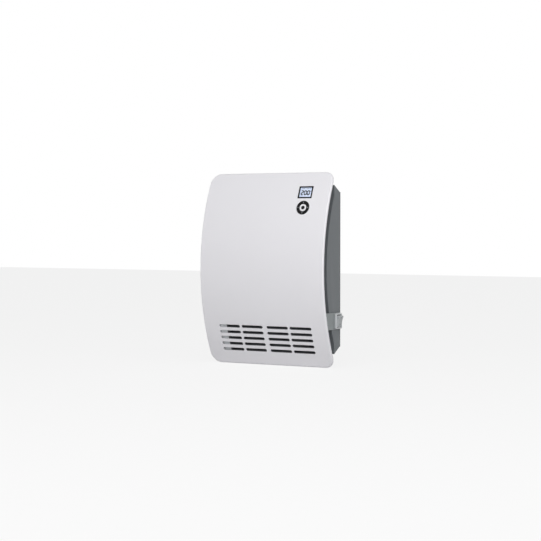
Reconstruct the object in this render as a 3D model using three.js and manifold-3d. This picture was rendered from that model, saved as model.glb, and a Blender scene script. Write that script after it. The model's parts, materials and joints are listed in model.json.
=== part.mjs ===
// Wall fan heater for a bathroom: a grey casing on a steel bracket, behind a bowed white cover.
// Millimetres. +X is right, +Z is up and the front faces -Y.
// The origin lies on the wall, behind the middle of the cover.
// The front, the edge of the casing and the louvres are arcs about one line along X, far behind the wall.
import * as THREE from "three";
import { mergeVertices } from "three/addons/utils/BufferGeometryUtils.js";
import Module from "manifold-3d";

const wasm = await Module();
wasm.setup();

// ---- Driving dimensions -------------------------------------------------------------------------

const CLEAR = 0.3; // gap between pieces that touch
const PAST = 2; // how far a cutting shape runs past what it cuts
const INTO = 0.5; // how far two shapes that are joined run into each other

// Front cover
const DEPTH = 136; // from the wall to the crown of the cover
const COVER_WIDTH = 345;
const COVER_HEIGHT = 470;
const COVER_BOW = 59; // how far the crown stands in front of the top and bottom edges
const COVER_CORNER = 26; // corner radius in the front view
const COVER_EDGE = 3; // rounding of the front edge
const COVER_SKIN = 3;
const COVER_RIM = 9; // depth of the return rim
const TAB_WIDTH = 16; // tabs that hold the cover on the frame
const TAB_THICK = 2.2;
const TAB_LENGTH = 26;
const TAB_SPACING = 90; // from the middle to each tab

// Casing: rear housing and intake frame
const CASE_HALF_WIDTH = 148;
const CASE_HALF_AT_WALL = 186; // half the height where it meets the wall
const CASE_HALF_HEIGHT = 214; // half the height past the slope
const CASE_SLOPE_DEPTH = 48;
const CASE_WALL = 3;
const CASE_SETBACK = 64; // from the cover's face to the open edge of the housing
const CASE_END_DEPTH = 33; // from the wall to the open edge at the top and bottom ends
const CASE_BACK_ROUND = 5;
const FRAME_STEP = 8; // the frame lies this far inside the housing's sides
const FRAME_DROP = 4; // and this far inside its top and bottom
const FRAME_WALL = 2.5;

// Air intake slots in the frame
const INTAKE_HEIGHT = 7.5;
const INTAKE_PITCH = 15;
const INTAKE_SIDE_COUNT = 18;
const INTAKE_SIDE_LOWEST = -90;
const INTAKE_FRONT = 14; // behind the cover's face
const INTAKE_LENGTH = 30;
const INTAKE_TOP_COUNT = 13;
const INTAKE_TOP_BACK = 46; // from the wall
const INTAKE_TOP_LENGTH = 30;

// Outlet slots in the cover
const SLOT_ROWS = 5;
const SLOT_TOP = -140; // middle of the highest row
const SLOT_PITCH = 14.5;
const SLOT_HEIGHT = 7;
const SLOT_LENGTH = 60.5;
const SLOT_MIDDLE_GAP = 10;
const SLOT_RIB = 4;

// Louvre insert behind the slots
const LOUVRE_DEPTH = 10.7;
const LOUVRE_BLADE = 1.6;
const LOUVRE_RISE = 5; // how much a blade climbs from front to back
const LOUVRE_RIB = 2;
const LOUVRE_BORDER = 4;
const BLANK_LENGTH = 20; // left end of the slots, closed from behind by the duct
const BLANK_SETBACK = 2; // from the front of the insert to the part that closes them

// Display and keys
const CONTROL_X = 105;
const LCD_HEIGHT_ON_COVER = 187; // above the middle of the cover
const LCD_FRAME_WIDTH = 38;
const LCD_FRAME_HEIGHT = 31;
const LCD_BORDER = 3.5;
const LCD_FRAME_DEPTH = 2.6;
const LCD_SCREEN_SETBACK = 0.8;
const LCD_DEPTH = 4.7;
const LCD_FLANGE = 2;
const KEYS_HEIGHT_ON_COVER = 150;
const KEYS_RADIUS = 17.1;
const KEY_RING_RADIUS = 9.1;
const KEY_CENTRE_RADIUS = 4.4;
const KEY_PROUD = 0.4;
const KEY_DEPTH = 3.5;
const KEY_TRAVEL = 0.6;
const KEY_SPLIT = 0.4; // gap between neighbouring keys
const KEY_MAT_RADIUS = 20;
const KEY_MAT_THICK = 2;
const KEY_MAT_FLAT = 2; // cut off its top, below the display
const BOARD_THICK = 1.6;
const DISPLAY_BOARD_WIDTH = 50;
const DISPLAY_BOARD_HEIGHT = 68;
const DISPLAY_BOARD_HEIGHT_ON_COVER = 164;
const DISPLAY_BOARD_SETBACK = 7.4;
const DISPLAY_POST_RADIUS = 2.5;
const PLUG_WIDTH = 20;
const PLUG_HEIGHT = 6;
const PLUG_DEPTH = 7;
const PLUG_DROP = 30; // below the middle of the board

// Mains switch on the right side
const CONSOLE_HEIGHT = 41;
const CONSOLE_MIDDLE = -124.8;
const CONSOLE_PLATE = 2.2;
const CONSOLE_BACK = 6;
const CONSOLE_GAP = 1; // to the cover's rim in front, and to the edge of the housing behind its deep part
const SWITCH_LENGTH = 29; // along Y
const SWITCH_HEIGHT = 37.5;
const SWITCH_BACK = 8; // from the wall
const SWITCH_BEZEL = 5.5; // how far the bezel stands out
const SWITCH_BORDER = 3.2;
const SWITCH_BODY_DEPTH = 30;
const SWITCH_BODY_MARGIN = 2; // body wider than the bezel's opening, both sides together
const SWITCH_BODY_SINK = 3; // face of the body behind the back of the bezel
const SWITCH_TAG_LENGTH = 7;
const SWITCH_TAG_WIDTH = 5;
const SWITCH_TAG_THICK = 0.9;
const SWITCH_TAG_PITCH = 8;
const SWITCH_CORNER = 2.5;
const ROCKER_PROUD = 4; // how far the ends of a level rocker stand out of the bezel
const ROCKER_DISH = 2.8; // hollow of its face
const ROCKER_ROUND = 3; // rounding of its ends
const ROCKER_DRAFT = 0.6;
const ROCKER_PLAY = 1.2; // above and below it in the bezel
const ROCKER_TILT = 11; // degrees each way from level
const ROCKER_SINK = 3; // pivot below the bezel's face

// Tangential fan
const FAN_FROM_WALL = 62;
const FAN_HEIGHT = 20; // axis above the middle of the cover
const FAN_RADIUS = 31.4;
const FAN_INNER_RADIUS = 24;
const FAN_LEFT = -122;
const FAN_RIGHT = 68;
const FAN_BLADES = 22;
const FAN_BLADE_THICK = 1;
const FAN_BLADE_SWEEP = 26; // degrees between a blade's inner and outer edge
const FAN_BLADE_CURL = 1.6; // above 1, a blade bends more towards its outer edge
const FAN_LIP = 0.2; // rim of the discs past the blades
const FAN_DISC = 2;
const FAN_HUB_RADIUS = 7;
const FAN_HUB_LENGTH = 12;
const SHAFT_RADIUS = 3;

// Scroll, tongue and chute
const SCROLL_WALL = 2;
const SCROLL_GAP = 3.6; // fan to wall at the inlet lip
const SCROLL_GROWTH = 6; // extra gap where the spiral ends
const SCROLL_START = 80; // degrees above the line from the axis to the wall
const SCROLL_END = -60;
const SCROLL_END_GAP = 3.5; // fan to end plate
const SCROLL_BOTTOM = -110;
const SCROLL_TOP = 58;
const CHUTE_FRONT = 90; // inner faces of the chute, from the wall
const CHUTE_BACK = 42;
const CHUTE_TOP = -32; // the spiral meets the chute's back wall here
const FOOT_HEIGHT = 14; // of the tabs that reach from an end plate to the back wall
const LOWER_FOOT_Z = -83;
const UPPER_FOOT_Z = 39;
const TONGUE_NOSE = 3;
const TONGUE_GAP = 3;

// Outlet duct
const DUCT_SIDE_GAP = 3.5; // to the inner sides of the frame
const DUCT_WALL = 2;
const DUCT_FLOOR_GAP = 0.2; // lowest slot to the floor of the duct
const DUCT_MOUTH_TOP = -129;
const DUCT_BEND = 48; // below the top, where the back wall starts to curve to the mouth
const DUCT_BEND_RISE = 10;
const DUCT_FOOT_X = 70;
const DUCT_FOOT_WIDTH = 12;
const DUCT_FOOT_DROP = 12; // below the top

// Heating element
const HEATER_TOP = -60;
const HEATER_BOTTOM = -100;
const HEATER_SHEET = 1.2;
const CARD_THICK = 1.5;
const CARD_MARGIN = 2;
const BAND_WIDTH = 4;
const BAND_THICK = 0.8;
const BAND_SWING = 5;
const BAND_PITCH = 14;
const BAND_SPACING_Y = 22;
const BAND_SPACING_Z = 16;
const CUTOUT_RADIUS = 8;
const CUTOUT_THICK = 5;
const CUTOUT_TAG_X = 4;
const CUTOUT_TAG_WIDTH = 3;
const CUTOUT_TAG_LENGTH = 6;
const CUTOUT_TAG_THICK = 0.8;

// Motor
const STACK_WIDTH = 50;
const STACK_ABOVE = 22; // above the axis
const STACK_BELOW = 44;
const STACK_THICK = 16;
const STACK_FROM_PLATE = 16; // end plate of the scroll to the stack
const ROTOR_RADIUS = 12;
const ROTOR_GAP = 0.6;
const ROTOR_OVERHANG = 1; // past each face of the stack
const SHAFT_TAIL = 4; // past the outer bridge
const COIL_LENGTH = 23;
const COIL_WALL = 8;
const LIMB_HEIGHT = 9;
const WINDOW_HEIGHT = 18;
const BRIDGE_THICK = 3;
const BRIDGE_REACH = 10;
const BRIDGE_HEIGHT = 12;
const BRIDGE_FOOT = 7;
const BRIDGE_MARGIN = 2; // narrower than the stack, both ends together
const BRIDGE_BOSS_RADIUS = 5;
const BRIDGE_BOSS = 7; // length of the boss round the shaft
const MOTOR_SCREW_SPACING = 20.5; // from the axis
const MOTOR_SCREW_RADIUS = 1.8;

// Bearing of the free end
const BUSH_RADIUS = 5;
const BUSH_LENGTH = 5;
const BUSH_MOUNT_RADIUS = 9;
const BUSH_FLANGE_RADIUS = 11;

// Wall bracket
const BRACKET_WIDTH = 190;
const BRACKET_HEIGHT = 210;
const BRACKET_SHEET = 1.5;
const BRACKET_SLOT_X = 75;
const BRACKET_SLOT_Z = 88;
const BRACKET_SLOT_LENGTH = 14;
const BRACKET_SLOT_WIDTH = 5.5;
const POCKET_DEPTH = 2;
const POCKET_MARGIN = 1;
const HOOK_X = 60;
const HOOK_WIDTH = 20;
const HOOK_HEIGHT = 70; // shelf of the hook
const HOOK_REACH = 8;
const HOOK_LIP = 12;
const HOOK_PLAY = 2; // room round a hook in its slot
const BRACKET_CORNER = 6;

// Electrics on the back wall
const POWER_BOARD_LEFT = -20;
const POWER_BOARD_WIDTH = 130;
const POWER_BOARD_LOW = 112;
const POWER_BOARD_HEIGHT = 66;
const POWER_BOARD_FROM_WALL = 22.4;
const STANDOFF_RADIUS = 3.5;
const STANDOFF_INSET = 6;
const RELAY_WIDTH = 19;
const RELAY_HEIGHT = 16;
const RELAY_DEPTH = 15;
const TRANSFORMER_SIZE = 32;
const TRANSFORMER_DEPTH = 24;
const TRANSFORMER_STEP = 4; // from the core to the winding inside it
const TRANSFORMER_INSET = 30; // from the board's right edge to the middle
const TERMINAL_X = 118;
const TERMINAL_Z = -66;
const TERMINAL_WIDTH = 34;
const TERMINAL_HEIGHT = 16;
const TERMINAL_DEPTH = 14;
const TERMINAL_PITCH = 10;
const TERMINAL_WELL_RADIUS = 3;
const TERMINAL_WELL_DEPTH = 8;
const CABLE_X = 114;
const CABLE_Z = -96;
const CABLE_HOLE_RADIUS = 7;
const GROMMET_FLANGE = 2.5;
const GROMMET_BORE = 4;
const GROMMET_LIP = 1.5;
const CLAMP_Z = -82;
const CLAMP_WIDTH = 30;
const CLAMP_HEIGHT = 8;
const CLAMP_THICK = 3;
const CLAMP_RISE = 4; // back wall to the middle of the cord
const SENSOR_RADIUS = 3;
const SENSOR_LENGTH = 16;
const SENSOR_Z = -103;
const SENSOR_FROM_WALL = 70;

// Screws that hold the intake frame in the housing
const LUG_X = 128;
const LUG_TOP_Z = 160;
const LUG_BOTTOM_Z = -168;
const LUG_SIZE = 14;
const LUG_THICK = 2.5;
const BOSS_RADIUS = 5;
const BOSS_HEIGHT = 12;
const SCREW_RADIUS = 2;
const SCREW_HEAD_HEIGHT = 2.4;
const SCREW_SLOT_WIDTH = 0.8;
const SCREW_SLOT_DEPTH = 1.1;
const SCREW_LENGTH = 11;
const COVER_SCREW_LENGTH = 7.5;

// ---- Colours and surfaces -----------------------------------------------------------------------

const finish = (color, roughness, metalness = 0) =>
  new THREE.MeshStandardMaterial({ color, roughness, metalness });
const WHITE_PLASTIC = finish(0xf0f0f3, 0.35);
const GREY_PLASTIC = finish(0x8b8f92, 0.5);
const DARK_GREY_PLASTIC = finish(0x63666b, 0.6);
const PALE_PLASTIC = finish(0xb9bdbf, 0.45);
const CONSOLE_PLASTIC = finish(0x979d9d, 0.45);
const BLACK_GLOSS = finish(0x101113, 0.2);
const SCREEN_GLASS = finish(0xc6d6ef, 0.15);
const GALVANISED = finish(0xa9adb0, 0.45, 0.9);
const STEEL = finish(0xc2c4c6, 0.3, 1);
const LAMINATIONS = finish(0x5d6064, 0.6, 0.8);
const COPPER = finish(0xb06a35, 0.4, 1);
const BRONZE = finish(0x9a7040, 0.5, 1);
const BLACK_RUBBER = finish(0x1d1d1f, 0.85);
const BLACK_NYLON = finish(0x2a2b2d, 0.55);
const MICA = finish(0xb99f6d, 0.7);
const CIRCUIT_BOARD = finish(0x2f6b45, 0.5);
const CREAM_NYLON = finish(0xdcd8c8, 0.5);

// ---- Solids from three.js geometries ------------------------------------------------------------

// A closed geometry with only its places kept, as a solid that can be cut and joined.
function solid(shape) {
  if (!shape.isBufferGeometry) return shape;
  const bare = shape.index ? shape.toNonIndexed() : shape.clone();
  for (const key of Object.keys(bare.attributes)) {
    if (key !== "position") bare.deleteAttribute(key);
  }
  const merged = mergeVertices(bare, 1e-4);
  return new wasm.Manifold(
    new wasm.Mesh({
      numProp: 3,
      vertProperties: merged.attributes.position.array,
      triVerts: new Uint32Array(merged.index.array),
    }),
  );
}

const join = (...shapes) => shapes.map(solid).reduce((all, one) => all.add(one));
const cut = (base, ...tools) =>
  tools.map(solid).reduce((left, tool) => left.subtract(tool), solid(base));
const common = (...shapes) => shapes.map(solid).reduce((all, one) => all.intersect(one));

function geometryOf(shape) {
  const { vertProperties, triVerts } = solid(shape).getMesh();
  return new THREE.BufferGeometry()
    .setAttribute("position", new THREE.BufferAttribute(vertProperties, 3))
    .setIndex(new THREE.BufferAttribute(triVerts, 1));
}

// One named piece of the heater, in flat shading.
function piece(name, shape, material) {
  const geometry = geometryOf(shape).toNonIndexed();
  geometry.computeVertexNormals();
  const mesh = new THREE.Mesh(geometry, material);
  mesh.name = name;
  return mesh;
}

const slab = ([x0, x1], [y0, y1], [z0, z1]) =>
  new THREE.BoxGeometry(x1 - x0, y1 - y0, z1 - z0)
    .translate((x0 + x1) / 2, (y0 + y1) / 2, (z0 + z1) / 2);

const around = (middle, size) => [middle - size / 2, middle + size / 2];
const grow = ([from, to], by) => [from - by, to + by];

// A round bar along one axis, from one end to the other.
function bar(axis, radius, [from, to], [a, b], sides = 16) {
  const geometry = new THREE.CylinderGeometry(radius, radius, to - from, sides);
  if (axis === "x") return geometry.rotateZ(-Math.PI / 2).translate((from + to) / 2, a, b);
  if (axis === "y") return geometry.translate(a, (from + to) / 2, b);
  return geometry.rotateX(Math.PI / 2).translate(a, b, (from + to) / 2);
}

const outline = (points) => new THREE.Shape(points.map(([a, b]) => new THREE.Vector2(a, b)));
const extruded = (shape, depth, curveSegments) =>
  new THREE.ExtrudeGeometry(shape, { depth, bevelEnabled: false, curveSegments });
const AXIS = { x: [1, 0, 0], y: [0, 1, 0], z: [0, 0, 1], back: [0, -1, 0] };
const basis = (...axes) =>
  new THREE.Matrix4().makeBasis(...axes.map((axis) => new THREE.Vector3(...axis)));

// A side view, drawn as [y, z], that runs along X.
const alongX = (shape, [from, to], curveSegments = 8) =>
  extruded(shape, to - from, curveSegments)
    .applyMatrix4(basis(AXIS.y, AXIS.z, AXIS.x))
    .translate(from, 0, 0);

// A front view, drawn as [x, z], that runs along Y.
const alongY = (shape, [from, to], curveSegments = 8) =>
  extruded(shape, to - from, curveSegments)
    .applyMatrix4(basis(AXIS.x, AXIS.z, AXIS.back))
    .translate(0, to, 0);

// A top view, drawn as [x, y], that runs along Z.
const alongZ = (shape, [from, to], curveSegments = 8) =>
  extruded(shape, to - from, curveSegments).translate(0, 0, from);

function roundedRectangle([x0, x1], [z0, z1], radius) {
  const shape = new THREE.Shape();
  shape.moveTo(x0 + radius, z0);
  shape.absarc(x1 - radius, z0 + radius, radius, -Math.PI / 2, 0);
  shape.absarc(x1 - radius, z1 - radius, radius, 0, Math.PI / 2);
  shape.absarc(x0 + radius, z1 - radius, radius, Math.PI / 2, Math.PI);
  shape.absarc(x0 + radius, z0 + radius, radius, Math.PI, 1.5 * Math.PI);
  return shape;
}

// A slot with half-round ends.
const stadium = (across, [z0, z1]) => roundedRectangle(across, [z0, z1], (z1 - z0) / 2 - 0.01);

const steps = (count, at) => Array.from({ length: count + 1 }, (_, i) => at(i / count, i));
const degrees = THREE.MathUtils.degToRad;

// ---- The bow of the front -----------------------------------------------------------------------

const FRONT_RADIUS = (COVER_HEIGHT ** 2 / 4 + COVER_BOW ** 2) / (2 * COVER_BOW);
const BOW_CENTRE_Y = FRONT_RADIUS - DEPTH;

// Y of the arc that lies `inset` behind the face of the cover, at height z.
const bowY = (z, inset) => BOW_CENTRE_Y - Math.sqrt((FRONT_RADIUS - inset) ** 2 - z ** 2);

// Points of that arc, from one height to another.
const bowPoints = (inset, from, to, count) =>
  steps(count, (t) => {
    const z = from + (to - from) * t;
    return [bowY(z, inset), z];
  });

// A group whose own X and Z lie in the face of the cover, and whose -Y points straight out of it.
function faceGroup(x, z) {
  const group = new THREE.Group();
  group.position.set(x, bowY(z, 0), z);
  group.rotation.x = -Math.asin(z / FRONT_RADIUS);
  group.updateMatrixWorld(true);
  return group;
}

// ---- Front cover --------------------------------------------------------------------------------

// The rounded outline of the cover, `inset` from its edge: rows of [half width, height], lowest first.
function coverRows(inset) {
  const halfWidth = COVER_WIDTH / 2 - inset;
  const halfHeight = COVER_HEIGHT / 2 - inset;
  const radius = COVER_CORNER - inset;
  const corner = steps(5, (t) => [
    halfWidth - radius + radius * Math.sin((t * Math.PI) / 2),
    halfHeight - radius + radius * Math.cos((t * Math.PI) / 2),
  ]);
  const bottom = corner.map(([x, z]) => [x, -z]);
  const side = steps(18, (t) => [halfWidth, (2 * t - 1) * (halfHeight - radius)]).slice(1, -1);
  return [...bottom, ...side, ...corner.reverse()];
}

// A closed shell through rings of the cover's outline, each [inset from the edge, depth behind the face].
function coverShell(rings) {
  const places = [];
  const faces = [];
  let rowCount = 0;
  for (const [inset, depth] of rings) {
    const rows = coverRows(inset);
    rowCount = rows.length;
    for (const [x, z] of rows) places.push(x, bowY(z, depth), z);
    for (const [x, z] of [...rows].reverse()) places.push(-x, bowY(z, depth), z);
  }
  const ringSize = 2 * rowCount;
  const quad = (a, b, c, d) => faces.push(a, b, c, a, c, d);
  for (let ring = 0; ring + 1 < rings.length; ring++) {
    for (let i = 0; i < ringSize; i++) {
      const next = (i + 1) % ringSize;
      const here = ring * ringSize;
      const behind = here + ringSize;
      quad(here + i, behind + i, behind + next, here + next);
    }
  }
  const last = (rings.length - 1) * ringSize;
  for (let row = 0; row + 1 < rowCount; row++) {
    const left = ringSize - 1 - row;
    quad(row, row + 1, left - 1, left);
    quad(last + left, last + left - 1, last + row + 1, last + row);
  }
  return new THREE.BufferGeometry()
    .setAttribute("position", new THREE.Float32BufferAttribute(places, 3))
    .setIndex(faces);
}

const slotRowHeight = (row) => SLOT_TOP - row * SLOT_PITCH;
const SLOT_REACH = SLOT_MIDDLE_GAP / 2 + 2 * SLOT_LENGTH + SLOT_RIB; // middle to the outer end of a row
const SLOT_STARTS = [
  -SLOT_REACH,
  -SLOT_MIDDLE_GAP / 2 - SLOT_LENGTH,
  SLOT_MIDDLE_GAP / 2,
  SLOT_REACH - SLOT_LENGTH,
];

function outletSlots() {
  const slots = [];
  for (let row = 0; row < SLOT_ROWS; row++) {
    const z = slotRowHeight(row);
    for (const start of SLOT_STARTS) {
      const shape = stadium([start, start + SLOT_LENGTH], around(z, SLOT_HEIGHT));
      slots.push(alongY(shape, [-DEPTH, bowY(z, 4 * COVER_SKIN)], 2));
    }
  }
  return slots;
}

const lcdGroup = faceGroup(CONTROL_X, LCD_HEIGHT_ON_COVER);
const keyGroup = faceGroup(CONTROL_X, KEYS_HEIGHT_ON_COVER);
const boardGroup = faceGroup(CONTROL_X, DISPLAY_BOARD_HEIGHT_ON_COVER);

const COVER_TAB_Z = CASE_HALF_HEIGHT - FRAME_DROP + CLEAR; // inner face of a tab, just past the frame
const TAB_FRONT_Y = bowY(COVER_TAB_Z, COVER_SKIN - INTO);
const COVER_SCREW_Y = TAB_FRONT_Y + TAB_LENGTH - TAB_WIDTH / 2;

function coverTab(x, side) {
  const z = side * (COVER_TAB_Z + TAB_THICK / 2);
  const length = [TAB_FRONT_Y, TAB_FRONT_Y + TAB_LENGTH];
  const tab = slab(around(x, TAB_WIDTH), length, around(z, TAB_THICK));
  if (side > 0) return tab;
  return cut(tab, bar("z", SCREW_RADIUS + CLEAR, around(z, 3 * TAB_THICK), [x, COVER_SCREW_Y], 10));
}

const displayPostPlaces = () => {
  const x = DISPLAY_BOARD_WIDTH / 2 - DISPLAY_POST_RADIUS - CLEAR;
  const z = DISPLAY_BOARD_HEIGHT / 2 - DISPLAY_POST_RADIUS - CLEAR;
  return [[-x, -z], [x, -z], [x, z], [-x, z]];
};

function frontCover() {
  const rounding = steps(3, (t) => [
    COVER_EDGE * (1 - Math.sin((t * Math.PI) / 2)),
    COVER_EDGE * (1 - Math.cos((t * Math.PI) / 2)),
  ]);
  const rim = [[0, COVER_RIM], [COVER_SKIN, COVER_RIM], [COVER_SKIN, COVER_SKIN]];
  const shell = coverShell([...rounding, ...rim]);
  const tabs = [-1, 1].flatMap((side) =>
    [-TAB_SPACING, TAB_SPACING].map((x) => coverTab(x, side)));
  const posts = displayPostPlaces().map(([x, z]) =>
    bar("y", DISPLAY_POST_RADIUS, [COVER_SKIN / 2, DISPLAY_BOARD_SETBACK - CLEAR], [x, z], 10)
      .applyMatrix4(boardGroup.matrixWorld));
  const window = slab(
    around(0, LCD_FRAME_WIDTH + 2 * CLEAR),
    [-LCD_DEPTH, 2 * COVER_SKIN],
    around(0, LCD_FRAME_HEIGHT + 2 * CLEAR),
  ).applyMatrix4(lcdGroup.matrixWorld);
  const keyHole = bar("y", KEYS_RADIUS + CLEAR, [-COVER_SKIN, 2 * COVER_SKIN], [0, 0], 28)
    .applyMatrix4(keyGroup.matrixWorld);
  const body = cut(join(shell, ...tabs, ...posts), window, keyHole, ...outletSlots());
  return piece("front_cover", body, WHITE_PLASTIC);
}

// ---- Louvre insert ------------------------------------------------------------------------------

const LOUVRE_FACE = COVER_SKIN + CLEAR;
const LOUVRE_BACK = LOUVRE_FACE + LOUVRE_DEPTH;
const LOUVRE_TOP = SLOT_TOP + SLOT_HEIGHT / 2 + LOUVRE_BORDER;
const LOUVRE_BOTTOM = slotRowHeight(SLOT_ROWS - 1) - SLOT_HEIGHT / 2 - LOUVRE_BORDER;
const BLANK_EDGE_X = BLANK_LENGTH - SLOT_REACH;
const GRILLE_SPAN_X = [BLANK_EDGE_X + CLEAR, SLOT_REACH + LOUVRE_RIB];

function louvreRib(x) {
  const shape = outline([
    ...bowPoints(LOUVRE_FACE, LOUVRE_BOTTOM, LOUVRE_TOP, 4),
    ...bowPoints(LOUVRE_BACK, LOUVRE_TOP, LOUVRE_BOTTOM, 4),
  ]);
  return alongX(shape, around(x, LOUVRE_RIB));
}

// A blade starts at the lower lip of a slot and climbs towards the back.
function louvreBlade(z, rise) {
  const shape = outline([
    [bowY(z, LOUVRE_FACE), z],
    [bowY(z - LOUVRE_BLADE, LOUVRE_FACE), z - LOUVRE_BLADE],
    [bowY(z - LOUVRE_BLADE + rise, LOUVRE_BACK), z - LOUVRE_BLADE + rise],
    [bowY(z + rise, LOUVRE_BACK), z + rise],
  ]);
  return alongX(shape, grow(GRILLE_SPAN_X, -LOUVRE_RIB / 2));
}

function outletGrille() {
  const betweenSlots = SLOT_MIDDLE_GAP / 2 + SLOT_LENGTH + SLOT_RIB / 2;
  const ends = grow(GRILLE_SPAN_X, -LOUVRE_RIB / 2);
  const ribs = [0, betweenSlots, -betweenSlots, ...ends].map(louvreRib);
  const blades = steps(SLOT_ROWS - 1, (_, row) =>
    louvreBlade(slotRowHeight(row) - SLOT_HEIGHT / 2, LOUVRE_RISE));
  const roof = louvreBlade(LOUVRE_TOP, 0);
  const floor = louvreBlade(LOUVRE_BOTTOM + LOUVRE_BLADE, 0);
  return piece("outlet_grille", join(...ribs, ...blades, roof, floor), PALE_PLASTIC);
}

// ---- Display and keys ---------------------------------------------------------------------------

function displayPieces() {
  const frame = cut(
    slab(around(0, LCD_FRAME_WIDTH), [-KEY_PROUD, LCD_FRAME_DEPTH], around(0, LCD_FRAME_HEIGHT)),
    slab(
      around(0, LCD_FRAME_WIDTH - 2 * LCD_BORDER + 2 * CLEAR),
      grow([0, LCD_FRAME_DEPTH], PAST),
      around(0, LCD_FRAME_HEIGHT - 2 * LCD_BORDER + 2 * CLEAR),
    ),
  );
  const flange = LCD_FRAME_DEPTH + CLEAR;
  const screen = join(
    slab(
      around(0, LCD_FRAME_WIDTH - 2 * LCD_BORDER),
      [LCD_SCREEN_SETBACK, flange + INTO],
      around(0, LCD_FRAME_HEIGHT - 2 * LCD_BORDER),
    ),
    slab(
      around(0, LCD_FRAME_WIDTH - 2 * LCD_BORDER + 2 * LCD_FLANGE),
      [flange, LCD_SCREEN_SETBACK + LCD_DEPTH],
      around(0, LCD_FRAME_HEIGHT - 2 * LCD_BORDER + 2 * LCD_FLANGE),
    ),
  );
  lcdGroup.add(piece("lcd_frame", frame, BLACK_GLOSS), piece("lcd_screen", screen, SCREEN_GLASS));
}

// A quarter of the disc around the ring, whose middle points at `angle`.
function quarterKey(angle) {
  const inner = KEY_RING_RADIUS + CLEAR;
  const ring = new THREE.Shape();
  const side = (radius) => Math.PI / 4 - Math.asin(KEY_SPLIT / 2 / radius);
  ring.absarc(0, 0, KEYS_RADIUS, angle - side(KEYS_RADIUS), angle + side(KEYS_RADIUS), false);
  ring.absarc(0, 0, inner, angle + side(inner), angle - side(inner), true);
  return alongY(ring, [-KEY_PROUD, KEY_DEPTH - KEY_PROUD], 6);
}

function keyPieces() {
  const directions = { key_right: 0, key_up: 90, key_left: 180, key_down: 270 };
  for (const [name, angle] of Object.entries(directions)) {
    keyGroup.add(piece(name, quarterKey(degrees(angle)), BLACK_GLOSS));
  }
  const span = [-KEY_PROUD, KEY_DEPTH - KEY_PROUD];
  const matFace = KEY_DEPTH - KEY_PROUD + KEY_TRAVEL + CLEAR / 3;
  const ring = cut(
    bar("y", KEY_RING_RADIUS, [-KEY_PROUD, matFace - CLEAR], [0, 0], 24),
    bar("y", KEY_CENTRE_RADIUS + CLEAR, [-PAST, 2 * KEY_DEPTH], [0, 0], 20),
  );
  const mat = cut(
    bar("y", KEY_MAT_RADIUS, [matFace, matFace + KEY_MAT_THICK], [0, 0], 28),
    slab(
      around(0, 2 * KEY_MAT_RADIUS),
      [0, 3 * matFace],
      [KEY_MAT_RADIUS - KEY_MAT_FLAT, KEY_MAT_RADIUS],
    ),
  );
  keyGroup.add(
    piece("key_ring", ring, WHITE_PLASTIC),
    piece("key_centre", bar("y", KEY_CENTRE_RADIUS, span, [0, 0], 20), BLACK_GLOSS),
    piece("key_mat", mat, BLACK_RUBBER),
  );
}

function displayBoard() {
  const back = DISPLAY_BOARD_SETBACK + BOARD_THICK;
  const board = slab(
    around(0, DISPLAY_BOARD_WIDTH),
    [DISPLAY_BOARD_SETBACK, back],
    around(0, DISPLAY_BOARD_HEIGHT),
  );
  const plug = slab(
    around(0, PLUG_WIDTH),
    [back - INTO, back + PLUG_DEPTH],
    around(-PLUG_DROP, PLUG_HEIGHT),
  );
  boardGroup.add(piece("display_board", join(board, plug), CIRCUIT_BOARD));
}

// ---- Casing -------------------------------------------------------------------------------------

// Height of the casing's top at a distance from the wall, `shrink` inside its outer surface.
const caseTop = (fromWall, shrink) => {
  const slope = Math.min(fromWall / CASE_SLOPE_DEPTH, 1);
  return CASE_HALF_AT_WALL + (CASE_HALF_HEIGHT - CASE_HALF_AT_WALL) * slope - shrink;
};

// Side view of the casing, from `back` (from the wall) to the arc `inset` behind the cover's face.
// Where the arc comes nearer to the wall than `end`, the open edge is straight at that depth.
function caseProfile(back, inset, shrink, end = 0) {
  let top = CASE_HALF_HEIGHT - shrink;
  for (let i = 0; i < 60; i++) top = caseTop(-bowY(top, inset), shrink);
  const knee = -bowY(top, inset) > CASE_SLOPE_DEPTH;
  const upper = [[-back, caseTop(back, shrink)]];
  if (knee) upper.push([-CASE_SLOPE_DEPTH, caseTop(CASE_SLOPE_DEPTH, shrink)]);
  if (-bowY(top, inset) < end) {
    upper.push([-end, caseTop(end, shrink)]);
    top = Math.sqrt((FRONT_RADIUS - inset) ** 2 - (BOW_CENTRE_Y + end) ** 2);
  }
  const lower = upper.map(([y, z]) => [y, -z]);
  return outline([...lower, ...bowPoints(inset, -top, top, 14), ...upper.reverse()]);
}

// Top view of the casing's outside, with its two corners at the wall rounded.
function casePlan() {
  const shape = new THREE.Shape();
  shape.moveTo(-CASE_HALF_WIDTH, -DEPTH);
  shape.lineTo(CASE_HALF_WIDTH, -DEPTH);
  const radius = CASE_BACK_ROUND;
  shape.absarc(CASE_HALF_WIDTH - radius, -radius, radius, 0, Math.PI / 2);
  shape.absarc(radius - CASE_HALF_WIDTH, -radius, radius, Math.PI / 2, Math.PI);
  return shape;
}

const LUG_PLACES = [
  [-LUG_X, LUG_TOP_Z],
  [LUG_X, LUG_TOP_Z],
  [LUG_X, LUG_BOTTOM_Z],
  [-LUG_X, LUG_BOTTOM_Z],
];
const LUG_BACK_Y = -(CASE_WALL + BOSS_HEIGHT + CLEAR);
const BACK_FACE_Y = -(CASE_WALL + CLEAR); // what stands on the back wall starts here
const POCKET_FACE_Y = BACK_FACE_Y - POCKET_DEPTH; // and here in front of the bracket's pocket

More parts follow.
